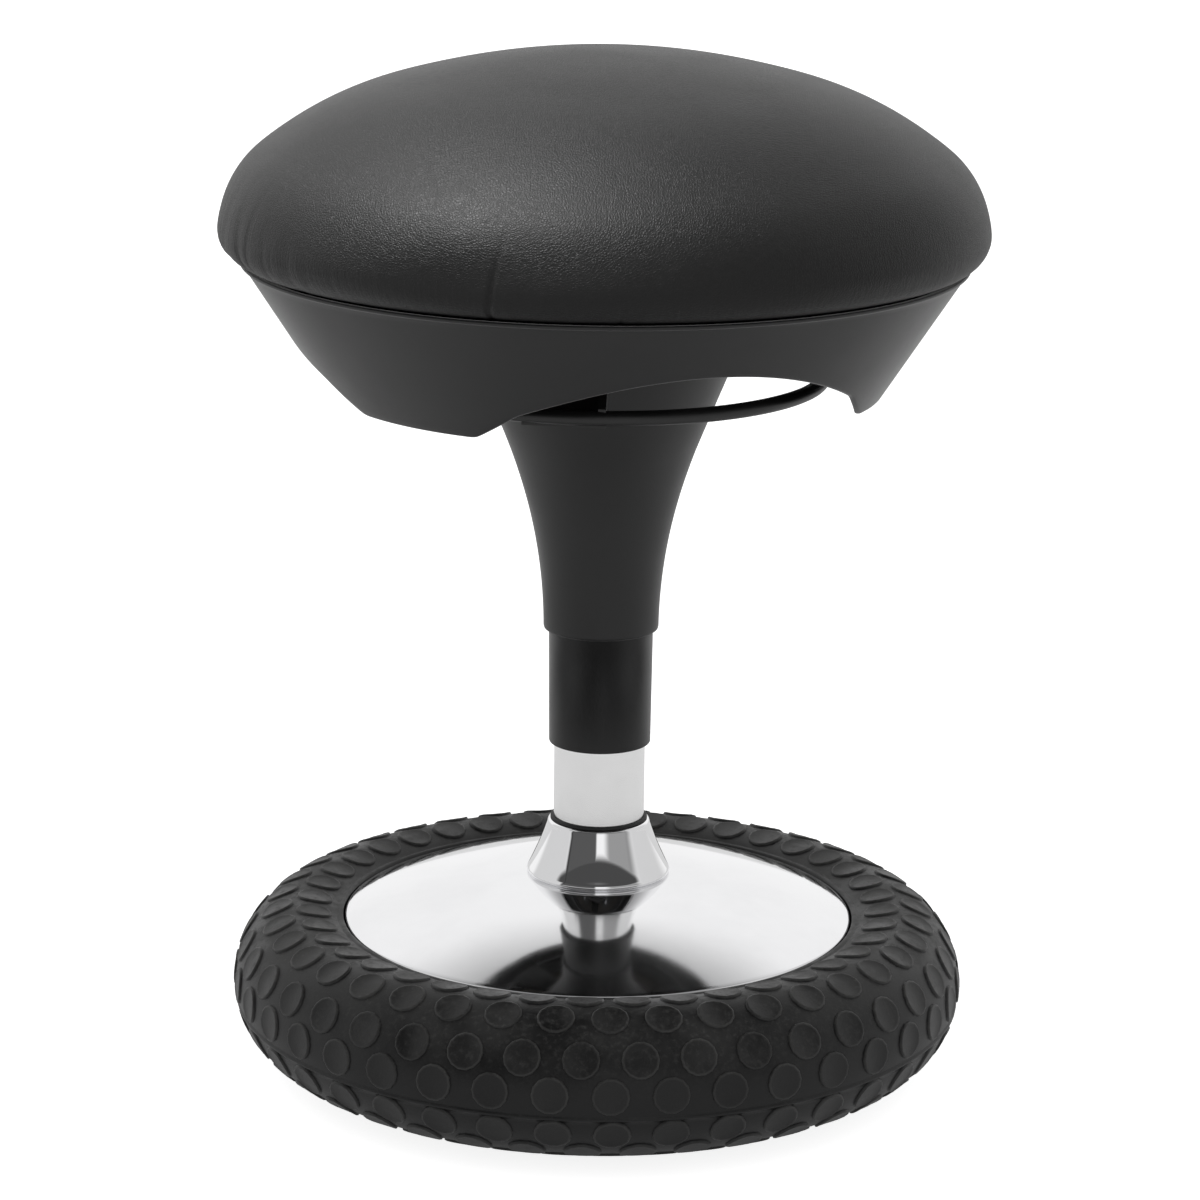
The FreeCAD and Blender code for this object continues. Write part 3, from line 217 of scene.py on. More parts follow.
def new_group(name, inputs, outputs):
    """Start a shader node group from input names with their defaults and output names."""
    group = bpy.data.node_groups.new(name, "ShaderNodeTree")
    for label, value in inputs.items():
        kind = "NodeSocketVector" if value is None else "NodeSocketFloat"
        socket = group.interface.new_socket(label, in_out="INPUT", socket_type=kind)
        if value is not None:
            socket.default_value = value
    for label in outputs:
        group.interface.new_socket(label, in_out="OUTPUT", socket_type="NodeSocketFloat")
    wiring = Wiring(group)
    given = group.nodes.new("NodeGroupInput").outputs
    out = group.nodes.new("NodeGroupOutput").inputs
    return group, wiring, given, out

# %% [markdown]
# Spark-eroded moulds leave a fine, even grain on plastic. Leather cloth is embossed with flat pebbles
# and narrow creases between them. Turned metal keeps faint rings about its axis. Hands and dust leave
# broad, soft patches on everything.

# %% Shared effects
def make_mould_grain():
    """Fine even grain: two noises, the second a third as large, added into one height."""
    group, w, given, out = new_group("mould_grain", {"Vector": None, "Scale": 1800.0}, ["Height"])
    coarse = w.noise(given["Vector"], given["Scale"], 2.0)
    fine = w.noise(given["Vector"], w.math("MULTIPLY", given["Scale"], 2.7), 1.0)
    w.feed(out["Height"], w.math("ADD", coarse, w.math("MULTIPLY", fine, 0.4)))
    return group


def make_leather_grain():
    """Pebbles and creases: the distance to the edges of scattered cells, bent a little by a noise, with a
    finer noise for pores."""
    group, w, given, out = new_group("leather_grain", {"Vector": None, "Scale": 620.0}, ["Height", "Crease"])
    bend = w.add("TexNoise", {"Vector": given["Vector"], "Scale": 350.0, "Detail": 2.0}).outputs["Color"]
    shift = w.add("VectorMath", {0: bend, 1: (0.0009, 0.0009, 0.0009)}, operation="MULTIPLY").outputs[0]
    place = w.add("VectorMath", {0: given["Vector"], 1: shift}, operation="ADD").outputs[0]
    cells = w.add("TexVoronoi", {"Vector": place, "Scale": given["Scale"]}, feature="DISTANCE_TO_EDGE")
    pebble = w.ramp(cells.outputs["Distance"], 0.0, 0.28)
    pores = w.noise(given["Vector"], w.math("MULTIPLY", given["Scale"], 3.0), 2.0)
    w.feed(out["Height"], w.math("ADD", pebble, w.math("MULTIPLY", pores, 0.5)))
    w.feed(out["Crease"], w.math("SUBTRACT", 1.0, pebble))
    return group


def make_handling():
    """Soft patches: a slow noise pushed towards its ends, times an amount."""
    inputs = {"Vector": None, "Scale": 14.0, "Amount": 1.0}
    group, w, given, out = new_group("handling", inputs, ["Mask"])
    patches = w.ramp(w.noise(given["Vector"], given["Scale"], 5.0, 0.62), 0.36, 0.68)
    w.feed(out["Mask"], w.math("MULTIPLY", patches, given["Amount"]))
    return group


def make_turning_lines():
    """Rings about the axis: a noise that reads only the distance from the axis and the height."""
    group, w, given, out = new_group("turning_lines", {"Vector": None, "Lines": 2200.0}, ["Height"])
    part = w.add("SeparateXYZ", {0: given["Vector"]}).outputs
    square = w.math("ADD", w.math("MULTIPLY", part[0], part[0]), w.math("MULTIPLY", part[1], part[1]))
    flat = w.add("CombineXYZ", {0: w.math("SQRT", square), 1: 0.0, 2: part[2]}).outputs[0]
    w.feed(out["Height"], w.noise(flat, given["Lines"], 2.0))
    return group


def make_edge_wear():
    """Edges and corners: where the surface's rounded normal leaves its own normal by more than a little."""
    group, w, given, out = new_group("edge_wear", {"Reach": 0.0012}, ["Mask"])
    soft = w.add("Bevel", {"Radius": given["Reach"]}, samples=4).outputs[0]
    own = w.add("NewGeometry").outputs["Normal"]
    match = w.add("VectorMath", {0: soft, 1: own}, operation="DOT_PRODUCT").outputs["Value"]
    w.feed(out["Mask"], w.ramp(match, 0.995, 0.86))
    return group


MOULD_GRAIN = make_mould_grain()
LEATHER_GRAIN = make_leather_grain()
HANDLING = make_handling()
TURNING_LINES = make_turning_lines()
EDGE_WEAR = make_edge_wear()
print("shared effects:", len(bpy.data.node_groups))

# %% Materials
def start_material(name, **sockets):
    """Start a material with a Principled shader whose plain values are set on its own sockets."""
    material = bpy.data.materials.new(name)
    material.use_nodes = True
    material.node_tree.nodes.clear()
    w = Wiring(material.node_tree)
    shader = w.add("BsdfPrincipled", {key.replace("_", " "): value for key, value in sockets.items()})
    w.feed(w.add("OutputMaterial").inputs["Surface"], shader.outputs[0])
    place = w.add("TexCoord").outputs["Object"]
    return material, w, shader.inputs, place


def rgb(red, green=None, blue=None):
    return (red, red if green is None else green, red if blue is None else blue, 1.0)


def moulded_plastic(name, colour, worn, rough, grain=1800.0, depth=0.00006, sheen=0.0):
    """Grained plastic: soft patches change its gloss and tone, and its edges are rubbed lighter."""
    material, w, shader, place = start_material(name, Sheen_Weight=sheen, Sheen_Roughness=0.3)
    patches = w.use(HANDLING, {"Vector": place, "Scale": 9.0, "Amount": 0.5})[0]
    edges = w.math("MULTIPLY", w.use(EDGE_WEAR, {"Reach": 0.001})[0], 0.45)
    w.feed(shader["Base Color"], w.mix(w.math("MAXIMUM", patches, edges), rgb(*colour), rgb(*worn)))
    w.feed(shader["Roughness"], w.ramp(patches, 0.0, 0.5, rough, rough + 0.07))
    height = w.use(MOULD_GRAIN, {"Vector": place, "Scale": grain})[0]
    w.feed(shader["Normal"], w.bump(height, 0.6, depth))
    return material


def turned_metal(name, colour, dull, rough, rough_spread=0.05, depth=0.000004, lines=2200.0):
    """Metal with faint turning lines, and patches where it has been handled."""
    material, w, shader, place = start_material(name, Metallic=1.0)
    patches = w.use(HANDLING, {"Vector": place, "Scale": 11.0, "Amount": 0.6})[0]
    height = w.use(TURNING_LINES, {"Vector": place, "Lines": lines})[0]
    w.feed(shader["Base Color"], w.mix(patches, rgb(*colour), rgb(*dull)))
    w.feed(shader["Roughness"], w.ramp(patches, 0.0, 1.0, rough, rough + rough_spread))
    w.feed(shader["Normal"], w.bump(height, 0.4, depth))
    return material


def tyre_rubber():
    """Dull black rubber with a bloom of dust that is kept to faces looking up, so that it also paints the
    light from above, and lighter where it is rubbed.
    """
    material, w, shader, place = start_material("tyre_rubber", Specular_IOR_Level=0.35)
    slow = w.use(HANDLING, {"Vector": place, "Scale": 26.0, "Amount": 0.7})[0]
    fine = w.ramp(w.noise(place, 330.0, 4.0, 0.7), 0.46, 0.78)
    dust_and_top_light = w.math("ADD", w.math("MULTIPLY", slow, 0.6), w.math("MULTIPLY", fine, 0.6))
    # Painted top light: the dust is kept to faces that look upwards, so the tops come out lighter as if lit
    # from above.
    up = w.add("SeparateXYZ", {0: w.add("NewGeometry").outputs["Normal"]}).outputs[2]
    dust_and_top_light = w.math("MULTIPLY", dust_and_top_light, w.ramp(up, -0.1, 0.9))
    rim = w.add("Attribute", attribute_name="rubbed").outputs["Fac"]
    tone = w.math("ADD", w.math("MULTIPLY", dust_and_top_light, 0.6), w.math("MULTIPLY", rim, 0.30), clamp=True)
    w.feed(shader["Base Color"], w.mix(tone, rgb(0.0045, 0.0045, 0.0047), rgb(0.095, 0.094, 0.091)))
    w.feed(shader["Roughness"], w.ramp(dust_and_top_light, 0.0, 0.6, 0.40, 0.62))
    height = w.use(MOULD_GRAIN, {"Vector": place, "Scale": 1100.0})[0]
    w.feed(shader["Normal"], w.bump(height, 0.5, 0.00012))
    return material


def black_leather():
    """Embossed leather cloth: pebble grain, duller creases, and fine gathers near the lower edge that
    follow the seat round and fade upwards."""
    material, w, shader, place = start_material("black_leather", Specular_IOR_Level=0.3)
    grain = w.use(LEATHER_GRAIN, {"Vector": place, "Scale": 760.0})
    patches = w.use(HANDLING, {"Vector": place, "Scale": 7.0, "Amount": 0.6})[0]
    part = w.add("SeparateXYZ", {0: place}).outputs
    turn = w.math("ARCTAN2", part[0], w.math("MULTIPLY", part[1], -1.0))
    round_way = w.math("MULTIPLY", turn, 0.2)
    up_way = w.math("MULTIPLY", part[2], 0.07)
    spread = w.add("CombineXYZ", {0: round_way, 1: 0.0, 2: up_way})
    gathers = w.noise(spread.outputs[0], 420.0, 3.0, 0.6)
    left = w.ramp(w.math("ABSOLUTE", w.math("ADD", turn, 1.22)), 0.2, 0.85, 1.0, 0.35)
    low = w.math("MULTIPLY", w.ramp(part[2], 0.506, 0.462), left)
    gathers = w.math("MULTIPLY", w.math("SUBTRACT", gathers, 0.5), low)
    w.feed(shader["Base Color"], w.mix(patches, rgb(0.0055), rgb(0.008, 0.0079, 0.0078)))
    rough = w.math("ADD", w.ramp(patches, 0.0, 0.6, 0.38, 0.43), w.math("MULTIPLY", grain["Crease"], 0.08))
    w.feed(shader["Roughness"], rough)
    fine = w.bump(grain["Height"], 0.7, 0.00017)
    folds = w.add("Bump", {"Strength": 1.0, "Distance": 0.0008, "Height": gathers, "Normal": fine})
    w.feed(shader["Normal"], folds.outputs[0])
    return material


def seat_foam():
    """Open-cell foam: small pits of two sizes and a warm, slightly patchy tone."""
    material, w, shader, place = start_material("foam", Roughness=0.95, Specular_IOR_Level=0.2)
    cells = w.add("TexVoronoi", {"Vector": place, "Scale": 900.0}).outputs["Distance"]
    patches = w.use(HANDLING, {"Vector": place, "Scale": 20.0, "Amount": 0.7})[0]
    w.feed(shader["Base Color"], w.mix(patches, rgb(0.56, 0.50, 0.36), rgb(0.47, 0.40, 0.26)))
    w.feed(shader["Normal"], w.bump(cells, 0.9, 0.0003))
    return material


def board_ply():
    """Plywood: long grain across the faces and thin veneers, light and dark in turn, up the edge."""
    material, w, shader, place = start_material("board_ply", Roughness=0.62)
    stretch = w.add("Mapping", {"Vector": place, "Scale": (1.0, 0.12, 1.0)}).outputs[0]
    figure = w.noise(stretch, 160.0, 5.0, 0.6)
    up = w.add("SeparateXYZ", {0: place}).outputs[2]
    veneer = w.math("SINE", w.math("MULTIPLY", up, 2 * math.pi / 0.003))
    tone = w.math("ADD", figure, w.math("MULTIPLY", veneer, 0.18))
    stain = w.mix(w.ramp(tone, 0.2, 0.8), rgb(0.022, 0.017, 0.013), rgb(0.010, 0.008, 0.006))
    w.feed(shader["Base Color"], stain)
    w.feed(shader["Normal"], w.bump(figure, 0.4, 0.0002))
    return material


def cast_iron():
    """Sand-cast iron: a coarse skin under thin grey paint, darker in its pits."""
    material, w, shader, place = start_material("cast_iron", Metallic=0.6, Roughness=0.62)
    skin = w.noise(place, 420.0, 5.0, 0.65)
    w.feed(shader["Base Color"], w.mix(w.ramp(skin, 0.35, 0.65), rgb(0.045), rgb(0.11, 0.105, 0.10)))
    w.feed(shader["Normal"], w.bump(skin, 0.8, 0.0004))
    return material


MATERIALS = {
    "tyre_rubber": tyre_rubber(),
    "black_leather": black_leather(),
    "shell_plastic": moulded_plastic(
        "shell_plastic", (0.009, 0.009, 0.0092), (0.02, 0.02, 0.02), 0.48, depth=0.00008, sheen=0.7
    ),
    "black_plastic": moulded_plastic(
        "black_plastic", (0.006, 0.006, 0.0062), (0.014, 0.014, 0.014), 0.4, sheen=0.3
    ),
    "lever_plastic": moulded_plastic("lever_plastic", (0.006, 0.006, 0.006), (0.02, 0.02, 0.02), 0.36),
    "core_plastic": moulded_plastic("core_plastic", (0.02, 0.02, 0.021), (0.05, 0.05, 0.05), 0.5),
    "bush_plastic": moulded_plastic("bush_plastic", (0.62, 0.61, 0.57), (0.50, 0.48, 0.43), 0.42),
    "seal_rubber": moulded_plastic("seal_rubber", (0.01, 0.01, 0.01), (0.03, 0.03, 0.03), 0.6),
    "polished_steel": turned_metal(
        "polished_steel", (0.86, 0.86, 0.87), (0.79, 0.79, 0.80), 0.075, 0.05, 0.0000012
    ),
    "chrome_trim": turned_metal("chrome_trim", (0.88, 0.88, 0.89), (0.80, 0.80, 0.80), 0.03, 0.04),
    "chrome_tube": turned_metal("chrome_tube", (0.94, 0.94, 0.94), (0.87, 0.87, 0.87), 0.16, 0.10),
    "spring_steel": turned_metal("spring_steel", (0.55, 0.55, 0.56), (0.42, 0.42, 0.42), 0.28),
    "zinc_steel": turned_metal("zinc_steel", (0.60, 0.61, 0.63), (0.45, 0.46, 0.47), 0.34, 0.15),
    "black_steel": moulded_plastic("black_steel", (0.012, 0.012, 0.012), (0.05, 0.05, 0.05), 0.38, 900.0),
    "cast_iron": cast_iron(),
    "board_ply": board_ply(),
    "foam": seat_foam(),
}
print("finishes:", ", ".join(sorted(MATERIALS)))


def fit(piece, body, slot, *stands_for):
    """Give a new piece its finish, let it ride on a body and stand for construction pieces."""
    piece.data.materials.append(MATERIALS[slot])
    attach(piece, body)
    if stands_for:
        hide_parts(*stands_for)
    return piece

# %% [markdown]
# ## The rubber tyre
# The foot is a fat rubber ring, moulded in one piece, with a parting ridge just under its waist. Its
# upper half ends in a lip that holds the bright dome, its lower half curves in to the ring that it
# stands and rocks on. A turned profile is the natural way to make it.

# %% Tyre
UPPER_CENTRE = (158.0, 49.4)
LOWER_CENTRE = (160.0, 49.4)


def round_point(centre, radius, degrees):
    """Point of a round at a turn above the horizontal."""
    turn = math.radians(degrees)
    return np.add(centre, radius * np.array([math.cos(turn), math.sin(turn)]))


def tyre_outside():
    """The tyre's outer profile from the sole to the lip: a shallow sole curve, the lower round, the
    ridge, the upper round and the shoulder that falls to the lip."""
    low, edge = round_point(LOWER_CENTRE, 41.0, -68.0), round_point(LOWER_CENTRE, 41.0, -15.8)
    high = round_point(UPPER_CENTRE, 43.0, 45.0)
    sole = arc_through((116.7, 0.0), (146.0, 2.7), low, 14)
    lower = arc_through(low, round_point(LOWER_CENTRE, 41.0, -40.0), edge, 20)
    ridge = np.array([(200.0, 38.6), (200.62, 39.3), (200.72, 39.9), (200.62, 40.5), (200.15, 41.2)])
    waist = arc_through((200.25, 41.6), (200.8, 45.4), (201.0, 49.4), 5)
    upper = arc_through((201.0, 49.4), round_point(UPPER_CENTRE, 43.0, 22.0), high, 16)
    shoulder = arc_through(high, (170.6, 89.3), (154.0, 88.5), 18)
    groove = [(150.0, 87.3), (145.4, 85.7), (144.6, 85.2), (143.9, 85.6)]
    lip = np.array(groove + [(142.4, 85.7), (141.5, 85.2), (141.2, 83.9)])
    return np.concatenate([sole, lower[1:], ridge, waist, upper[1:], shoulder[1:], lip])


def tyre_inside():
    """The inner wall, 8 mm inside the outer one, from the lip's foot back to the sole."""
    high = round_point(UPPER_CENTRE, 35.0, 45.0)
    middle = round_point(UPPER_CENTRE, 35.0, 0.0)
    low = round_point(LOWER_CENTRE, 33.0, -68.0)
    crown = arc_through((154.0, 81.3), round_point(UPPER_CENTRE, 35.0, 73.0), high, 10)
    upper = arc_through(high, round_point(UPPER_CENTRE, 35.0, 22.0), middle, 8)
    lower = arc_through(middle, round_point(LOWER_CENTRE, 33.0, -34.0), low, 12)
    sole = arc_through(low, (146.0, 10.7), (117.9, 8.0), 8)
    return np.concatenate([[(141.2, 77.1)], crown, upper[1:], lower[1:], sole[1:]])


foot_ring = np.array([(102.0, 8.0), (102.0, 0.6), (102.6, 0.0)])
tyre = turned("tyre_body", np.concatenate([foot_ring, tyre_outside(), tyre_inside()]), 256)
fit(tyre, "base", "tyre_rubber", "tyre")

# %% [markdown]
# The tyre is covered with flat round studs like coins, in rows that are staggered by half a step. Each
# stud is a low disc with a raised rim, bent to the tyre's surface. One stud's points are worked out in
# two surface lengths, along the row and up the profile, and all studs are laid out in one array. A
# stored value marks the rims, which rub lighter than the rest.

# %% Studs on the tyre
STUD_STEPS = 40
# Each row's turn above the tyre's waist and its start round the axis, both in degrees.
STUD_ROWS = [(90.5, -2.2), (61.5, 2.3), (29.4, -2.2), (4.2, 2.3), (-28.7, 2.6), (-54.0, -2.0), (-80.0, 2.6)]
STUD_SIDES = 14
# Radius, height above the tyre and lightness of a stud's rings, from its foot to its middle.
STUD_RINGS = np.array([
    (10.2, -0.5, 0.0),
    (9.85, 0.95, 0.9),
    (9.1, 1.25, 1.0),
    (8.35, 0.95, 0.0),
    (0.0, 1.15, 0.0),
])


def tyre_studs():
    """Lay discs on the tyre: a point at lengths (u, v) from a stud's middle lies on the profile at the
    middle's length plus v, turned by the middle's angle plus u over the radius there, and is raised
    along the profile's normal by the ring's height."""
    profile = tyre_outside()
    length = np.concatenate([[0], np.cumsum(np.linalg.norm(np.diff(profile, axis=0), axis=1))])
    tangent = np.gradient(profile, length, axis=0)
    above = profile[:, 1] >= 49.4
    centre = np.where(above[:, None], UPPER_CENTRE, LOWER_CENTRE)
    turn = np.degrees(np.arctan2(profile[:, 1] - centre[:, 1], profile[:, 0] - centre[:, 0]))
    dice = np.random.default_rng(7)
    points, rubbed = [], []
    sides = np.arange(STUD_SIDES) * 2 * np.pi / STUD_SIDES
    across = np.concatenate([(STUD_RINGS[:-1, :1] * np.cos(sides)).ravel(), [0.0]])
    along = np.concatenate([(STUD_RINGS[:-1, :1] * np.sin(sides)).ravel(), [0.0]])
    raised = np.append(np.repeat(STUD_RINGS[:-1, 1], STUD_SIDES), STUD_RINGS[-1, 1])
    mark = np.append(np.repeat(STUD_RINGS[:-1, 2], STUD_SIDES), 0.0)
    count = STUD_STEPS
    for degrees, phase in STUD_ROWS:
        middle = np.interp(degrees, turn, length)
        spot = np.radians(phase + np.arange(count) * 360 / count)[:, None]
        reach = middle + along
        radius = np.interp(reach, length, profile[:, 0])
        height = np.interp(reach, length, profile[:, 1])
        slope = np.stack([np.interp(reach, length, tangent[:, 0]), np.interp(reach, length, tangent[:, 1])])
        slope /= np.linalg.norm(slope, axis=0)
        radius, height = radius + raised * slope[1], height - raised * slope[0]
        angle = spot + across / np.interp(middle, length, profile[:, 0])
        x, y = radius * np.sin(angle), -radius * np.cos(angle)
        points.append(np.stack([x, y, np.broadcast_to(height, x.shape)], -1).reshape(-1, 3) / 1000)
        rim_share = dice.uniform(0.35, 1.0, (count, 1))
        all_over = dice.uniform(0.0, 0.3, (count, 1))
        rubbed.append(np.clip(mark * rim_share + all_over, 0, 1).ravel())
    one = grid_faces(len(STUD_RINGS) - 1, STUD_SIDES)
    last = (len(STUD_RINGS) - 2) * STUD_SIDES
    one += [(last + k, last + (k + 1) % STUD_SIDES, last + STUD_SIDES) for k in range(STUD_SIDES)]
    size = len(across)
    total = len(STUD_ROWS) * STUD_STEPS
    faces = [[corner + size * stud for corner in face] for stud in range(total) for face in one]
    return np.concatenate(points), faces, np.concatenate(rubbed)


stud_points, stud_faces, stud_rubbed = tyre_studs()
studs = mesh_piece("tyre_studs", stud_points, stud_faces)
studs.data.attributes.new("rubbed", "FLOAT", "POINT").data.foreach_set("value", stud_rubbed)
fit(studs, "base", "tyre_rubber")

# %% [markdown]
# ## Bright metal
# The dome, the bell and the tube are what the eye reads as quality, and mirrors show every flat. Their
# profiles are sampled closely and carried round in many steps, so that reflections run without a kink.

# %% Dome
DOME_RIM_RADIUS = 140.4
DOME_RIM_HEIGHT = 85.0
DOME_ROUNDNESS = 700.0
BELL_FLAT_DEPTH = 2.2
BELL_FLAT_RADIUS = 52.0


def dome_height(radius):
    """Height of the dome: it rises above its rim by the difference of the squares of the radii over
    its roundness, and is a little flatter under the bell."""
    rise = (DOME_RIM_RADIUS**2 - radius**2) / DOME_ROUNDNESS
    return DOME_RIM_HEIGHT + rise - BELL_FLAT_DEPTH * np.exp(-((radius / BELL_FLAT_RADIUS) ** 4))


top = np.linspace(139.1, 26.9, 64)
under = np.linspace(26.2, 137.0, 24)
dome_profile = np.concatenate([
    [(140.4, 77.0), (140.4, 83.4)],
    arc_through((140.4, 83.9), (140.0, 84.85), (139.1, dome_height(139.1)), 5),
    np.stack([top, dome_height(top)], -1)[1:],
    [(26.4, dome_height(26.4) - 0.2), (26.2, dome_height(26.2) - 0.6)],
    np.stack([under, dome_height(under) - 1.8], -1),
    [(138.6, 82.4), (138.6, 77.0)],
])
dome = fit(turned("dome_cover", dome_profile, 320), "base", "polished_steel", "base_dome")

# %% Bell and seal
def bell_profile():
    """A foot that is only softly rounded, a hollow flank that sweeps up to a narrow neck, a plain bore."""
    outside = np.concatenate([
        arc_through((37.0, 109.1), (39.1, 109.7), (39.75, 111.6), 10),
        arc_through((39.75, 111.6), (33.3, 124.3), (28.2, 137.8), 36)[1:],
        arc_through((28.2, 137.8), (27.7, 139.5), (26.9, 140.0), 6)[1:],
    ])
    for _ in range(2):
        outside[1:-1] = (outside[:-2] + 2 * outside[1:-1] + outside[2:]) / 4
    inside = np.array([(26.5, 140.0), (26.2, 139.6), (26.2, 129.4), (34.4, 112.0), (34.4, 109.0)])
    return np.concatenate([outside, inside])


bell = fit(turned("bell_collar", bell_profile(), 256), "base", "chrome_trim", "column_bell")
seal_corners = [(25.05, 133.6), (26.15, 133.6), (26.15, 140.2), (26.8, 140.4), (26.6, 141.6), (25.05, 141.9)]
seal_outline = eased(seal_corners, 0.25, 3)
seal = fit(turned("seal_ring", seal_outline, 128), "base", "seal_rubber", "column_seal")

# %% [markdown]
# ## Telescopic covers
# Two black plastic covers hide the gas spring: a slim sleeve that slides on the bright tube, and a
# trumpet that flares up to the seat. Both are injection moulded, with soft lips where they end.

# %% Sleeve and trumpet
sleeve_outline = eased(
    [(25.3, 184.2), (27.9, 184.2), (28.6, 257.1), (29.6, 257.1), (29.6, 259.5), (25.3, 259.5)],
    [0.5, 0.9, 0.0, 0.3, 0.6, 0.3],
)
sleeve = fit(turned("middle_sleeve", sleeve_outline, 192), "sleeve", "black_plastic", "mid_sleeve")


def trumpet_profile():
    """The flaring side, 2 mm thick, with a turned-in foot lip and a web near its mouth that grips the
    seat's socket."""
    side = np.concatenate([
        arc_through((31.5, 250.3), (34.08, 286.1), (41.8, 323.4), 30),
        arc_through((41.8, 323.4), (46.2, 337.8), (51.3, 352.2), 12)[1:],
        np.linspace((51.3, 352.2), (71.2, 401.4), 16)[1:],
    ])
    for _ in range(4):
        side[1:-1] = (side[:-2] + 2 * side[1:-1] + side[2:]) / 4
    inner = np.concatenate([
        [(49.3, 352.2)],
        arc_through((39.8, 323.4), (32.4, 292.1), (29.9, 263.8), 8),
    ])
    foot = np.array([(28.9, 249.3), (29.3, 248.8), (30.6, 248.8), (31.2, 249.2)])
    mouth = np.array([(71.1, 401.9), (70.3, 402.0), (69.3, 401.6), (68.0, 399.2)])
    web = np.array([(20.1, 399.0), (20.1, 401.0), (18.05, 401.0), (18.05, 397.0), (67.2, 397.0)])
    return np.concatenate([foot, side, mouth, web, inner, [(29.9, 256.8), (28.9, 256.8)]])


trumpet = fit(turned("trumpet_tube", trumpet_profile(), 224), "seat", "black_plastic", "trumpet_cover")

# %% [markdown]
# ## Ring lever
# A sitting person pulls the ring anywhere under the seat to let the gas spring move. It is a plain round
# rod bent to a circle: a small circle carried round a large one.

# %% Ring
def ring_rod():
    """Points at (R + r cos b) along a and height + r sin b, with R = 118 mm and r = 4 mm."""
    section = np.linspace(0, 2 * np.pi, 20, endpoint=False)
    radius = 118.0 + 4.0 * np.cos(section)
    height = 390.9 + 4.0 * np.sin(section)
    points = around_axis(radius[:, None], height[:, None], 256)
    return mesh_piece("ring_handle", points.reshape(-1, 3), grid_faces(20, 256, True))


ring = fit(ring_rod(), "lever", "lever_plastic", "release_ring")

# %% [markdown]
# ## Seat shell
# The shell is a thin plastic cone under the cushion. Three broad arches cut its lower edge into three
# lobes, so that a hand reaches the ring from any side. The wall is one grid round the axis: for every
# angle its lower edge climbs to the arch's curve, and the rest of the wall is spread above it.

# %% Shell
ARCH_TURN = 18.95
WALL = 3.3
FOOT_RADIUS, FOOT_HEIGHT = 149.4, 383.3
TOP_RADIUS, TOP_HEIGHT = 193.3, 451.2


def skirt_radius(height):
    """Outside radius of the cone at a height."""
    return FOOT_RADIUS + (height - FOOT_HEIGHT) * (TOP_RADIUS - FOOT_RADIUS) / (TOP_HEIGHT - FOOT_HEIGHT)


def edge_height(turn):
    """Height of the shell's lower edge at turns in degrees from the front. An arch lies in an upright
    plane, so its curve is solved for the point where the cone at that height crosses it."""
    offset = np.radians((turn - ARCH_TURN + 60.0) % 120.0 - 60.0)
    height = np.full_like(offset, 400.0)
    for _ in range(60):
        across = np.abs(skirt_radius(height) * np.sin(offset))
        arc = 234.2 + np.sqrt(np.maximum(188.1**2 - across**2, 0.0))
        leg = 398.6 - (across - 91.4) * 15.3 / 14.0
        height = (height + np.where(across < 91.4, arc, leg)) / 2
    return np.maximum(height, FOOT_HEIGHT)


def shell_wall(columns=720):
    """Rows of the wall: round the lower edge, up the outside, over the lip, along the deck and back
    down the inside, each row a circle of points."""
    turn = np.arange(columns) * 360.0 / columns
    edge = edge_height(turn)
    for _ in range(4):
        edge = (np.roll(edge, 1) + 2 * edge + np.roll(edge, -1)) / 4
    soft = 1.1
    rows = []
    for degrees in (90, 60, 30, 0):
        drop = soft * (1 - math.sin(math.radians(90 - degrees)))
        inset = soft * (1 - math.cos(math.radians(degrees)))
        height = edge + soft - soft * math.sin(math.radians(degrees))
        rows.append((skirt_radius(height) - inset, height))
    for share in np.linspace(0, 1, 22)[1:]:
        height = edge + soft + (450.9 - edge - soft) * share
        rows.append((skirt_radius(height), height))
    flat = [(193.5, 451.2), (194.7, 451.6), (195.2, 452.1), (195.4, 453.0), (195.1, 453.5), (194.4, 453.6)]
    flat += [(192.7, 453.6), (192.1, 453.3), (191.7, 451.4), (191.2, 451.0), (123.0, 451.0), (122.2, 450.7)]
    flat += [(122.0, 450.0), (122.0, 448.6), (122.5, 448.0), (186.2, 448.0), (187.6, 447.6), (187.9, 446.6)]
    ones = np.ones(columns)
    rows += [(radius * ones, height * ones) for radius, height in flat]
    for share in np.linspace(0, 1, 16)[1:]:
        height = 446.6 + (edge + soft - 446.6) * share
        rows.append((skirt_radius(height) - WALL, height))
    for degrees in (30, 60, 90):
        inset = soft * (1 - math.cos(math.radians(degrees)))
        height = edge + soft - soft * math.sin(math.radians(degrees))
        rows.append((skirt_radius(height) - WALL + inset, height))
    angle = np.radians(turn)
    radius = np.array([row[0] for row in rows])
    height = np.array([row[1] for row in rows])
    points = np.stack([radius * np.sin(angle), -radius * np.cos(angle), height], -1).reshape(-1, 3)
    return points / 1000, grid_faces(len(rows), columns, True)


def gussets(count=12):
    """Thin three-cornered plates between deck and wall, the same plate turned round the axis."""
    corners = np.array([(156.4, 449.2), (189.4, 449.2), (175.4, 426.0)])
    half = 1.25
    angle = np.arange(count) * 2 * np.pi / count
    radius, height = np.tile(corners[:, 0], 2), np.tile(corners[:, 1], 2)
    side = np.repeat([-half, half], 3)
    x = radius * np.cos(angle)[:, None] - side * np.sin(angle)[:, None]
    y = radius * np.sin(angle)[:, None] + side * np.cos(angle)[:, None]
    points = np.stack([x, y, np.broadcast_to(height, x.shape)], -1).reshape(-1, 3) / 1000
    one = [(0, 1, 2), (5, 4, 3), (0, 3, 4, 1), (1, 4, 5, 2), (2, 5, 3, 0)]
    return points, [[corner + 6 * plate for corner in face] for plate in range(count) for face in one]


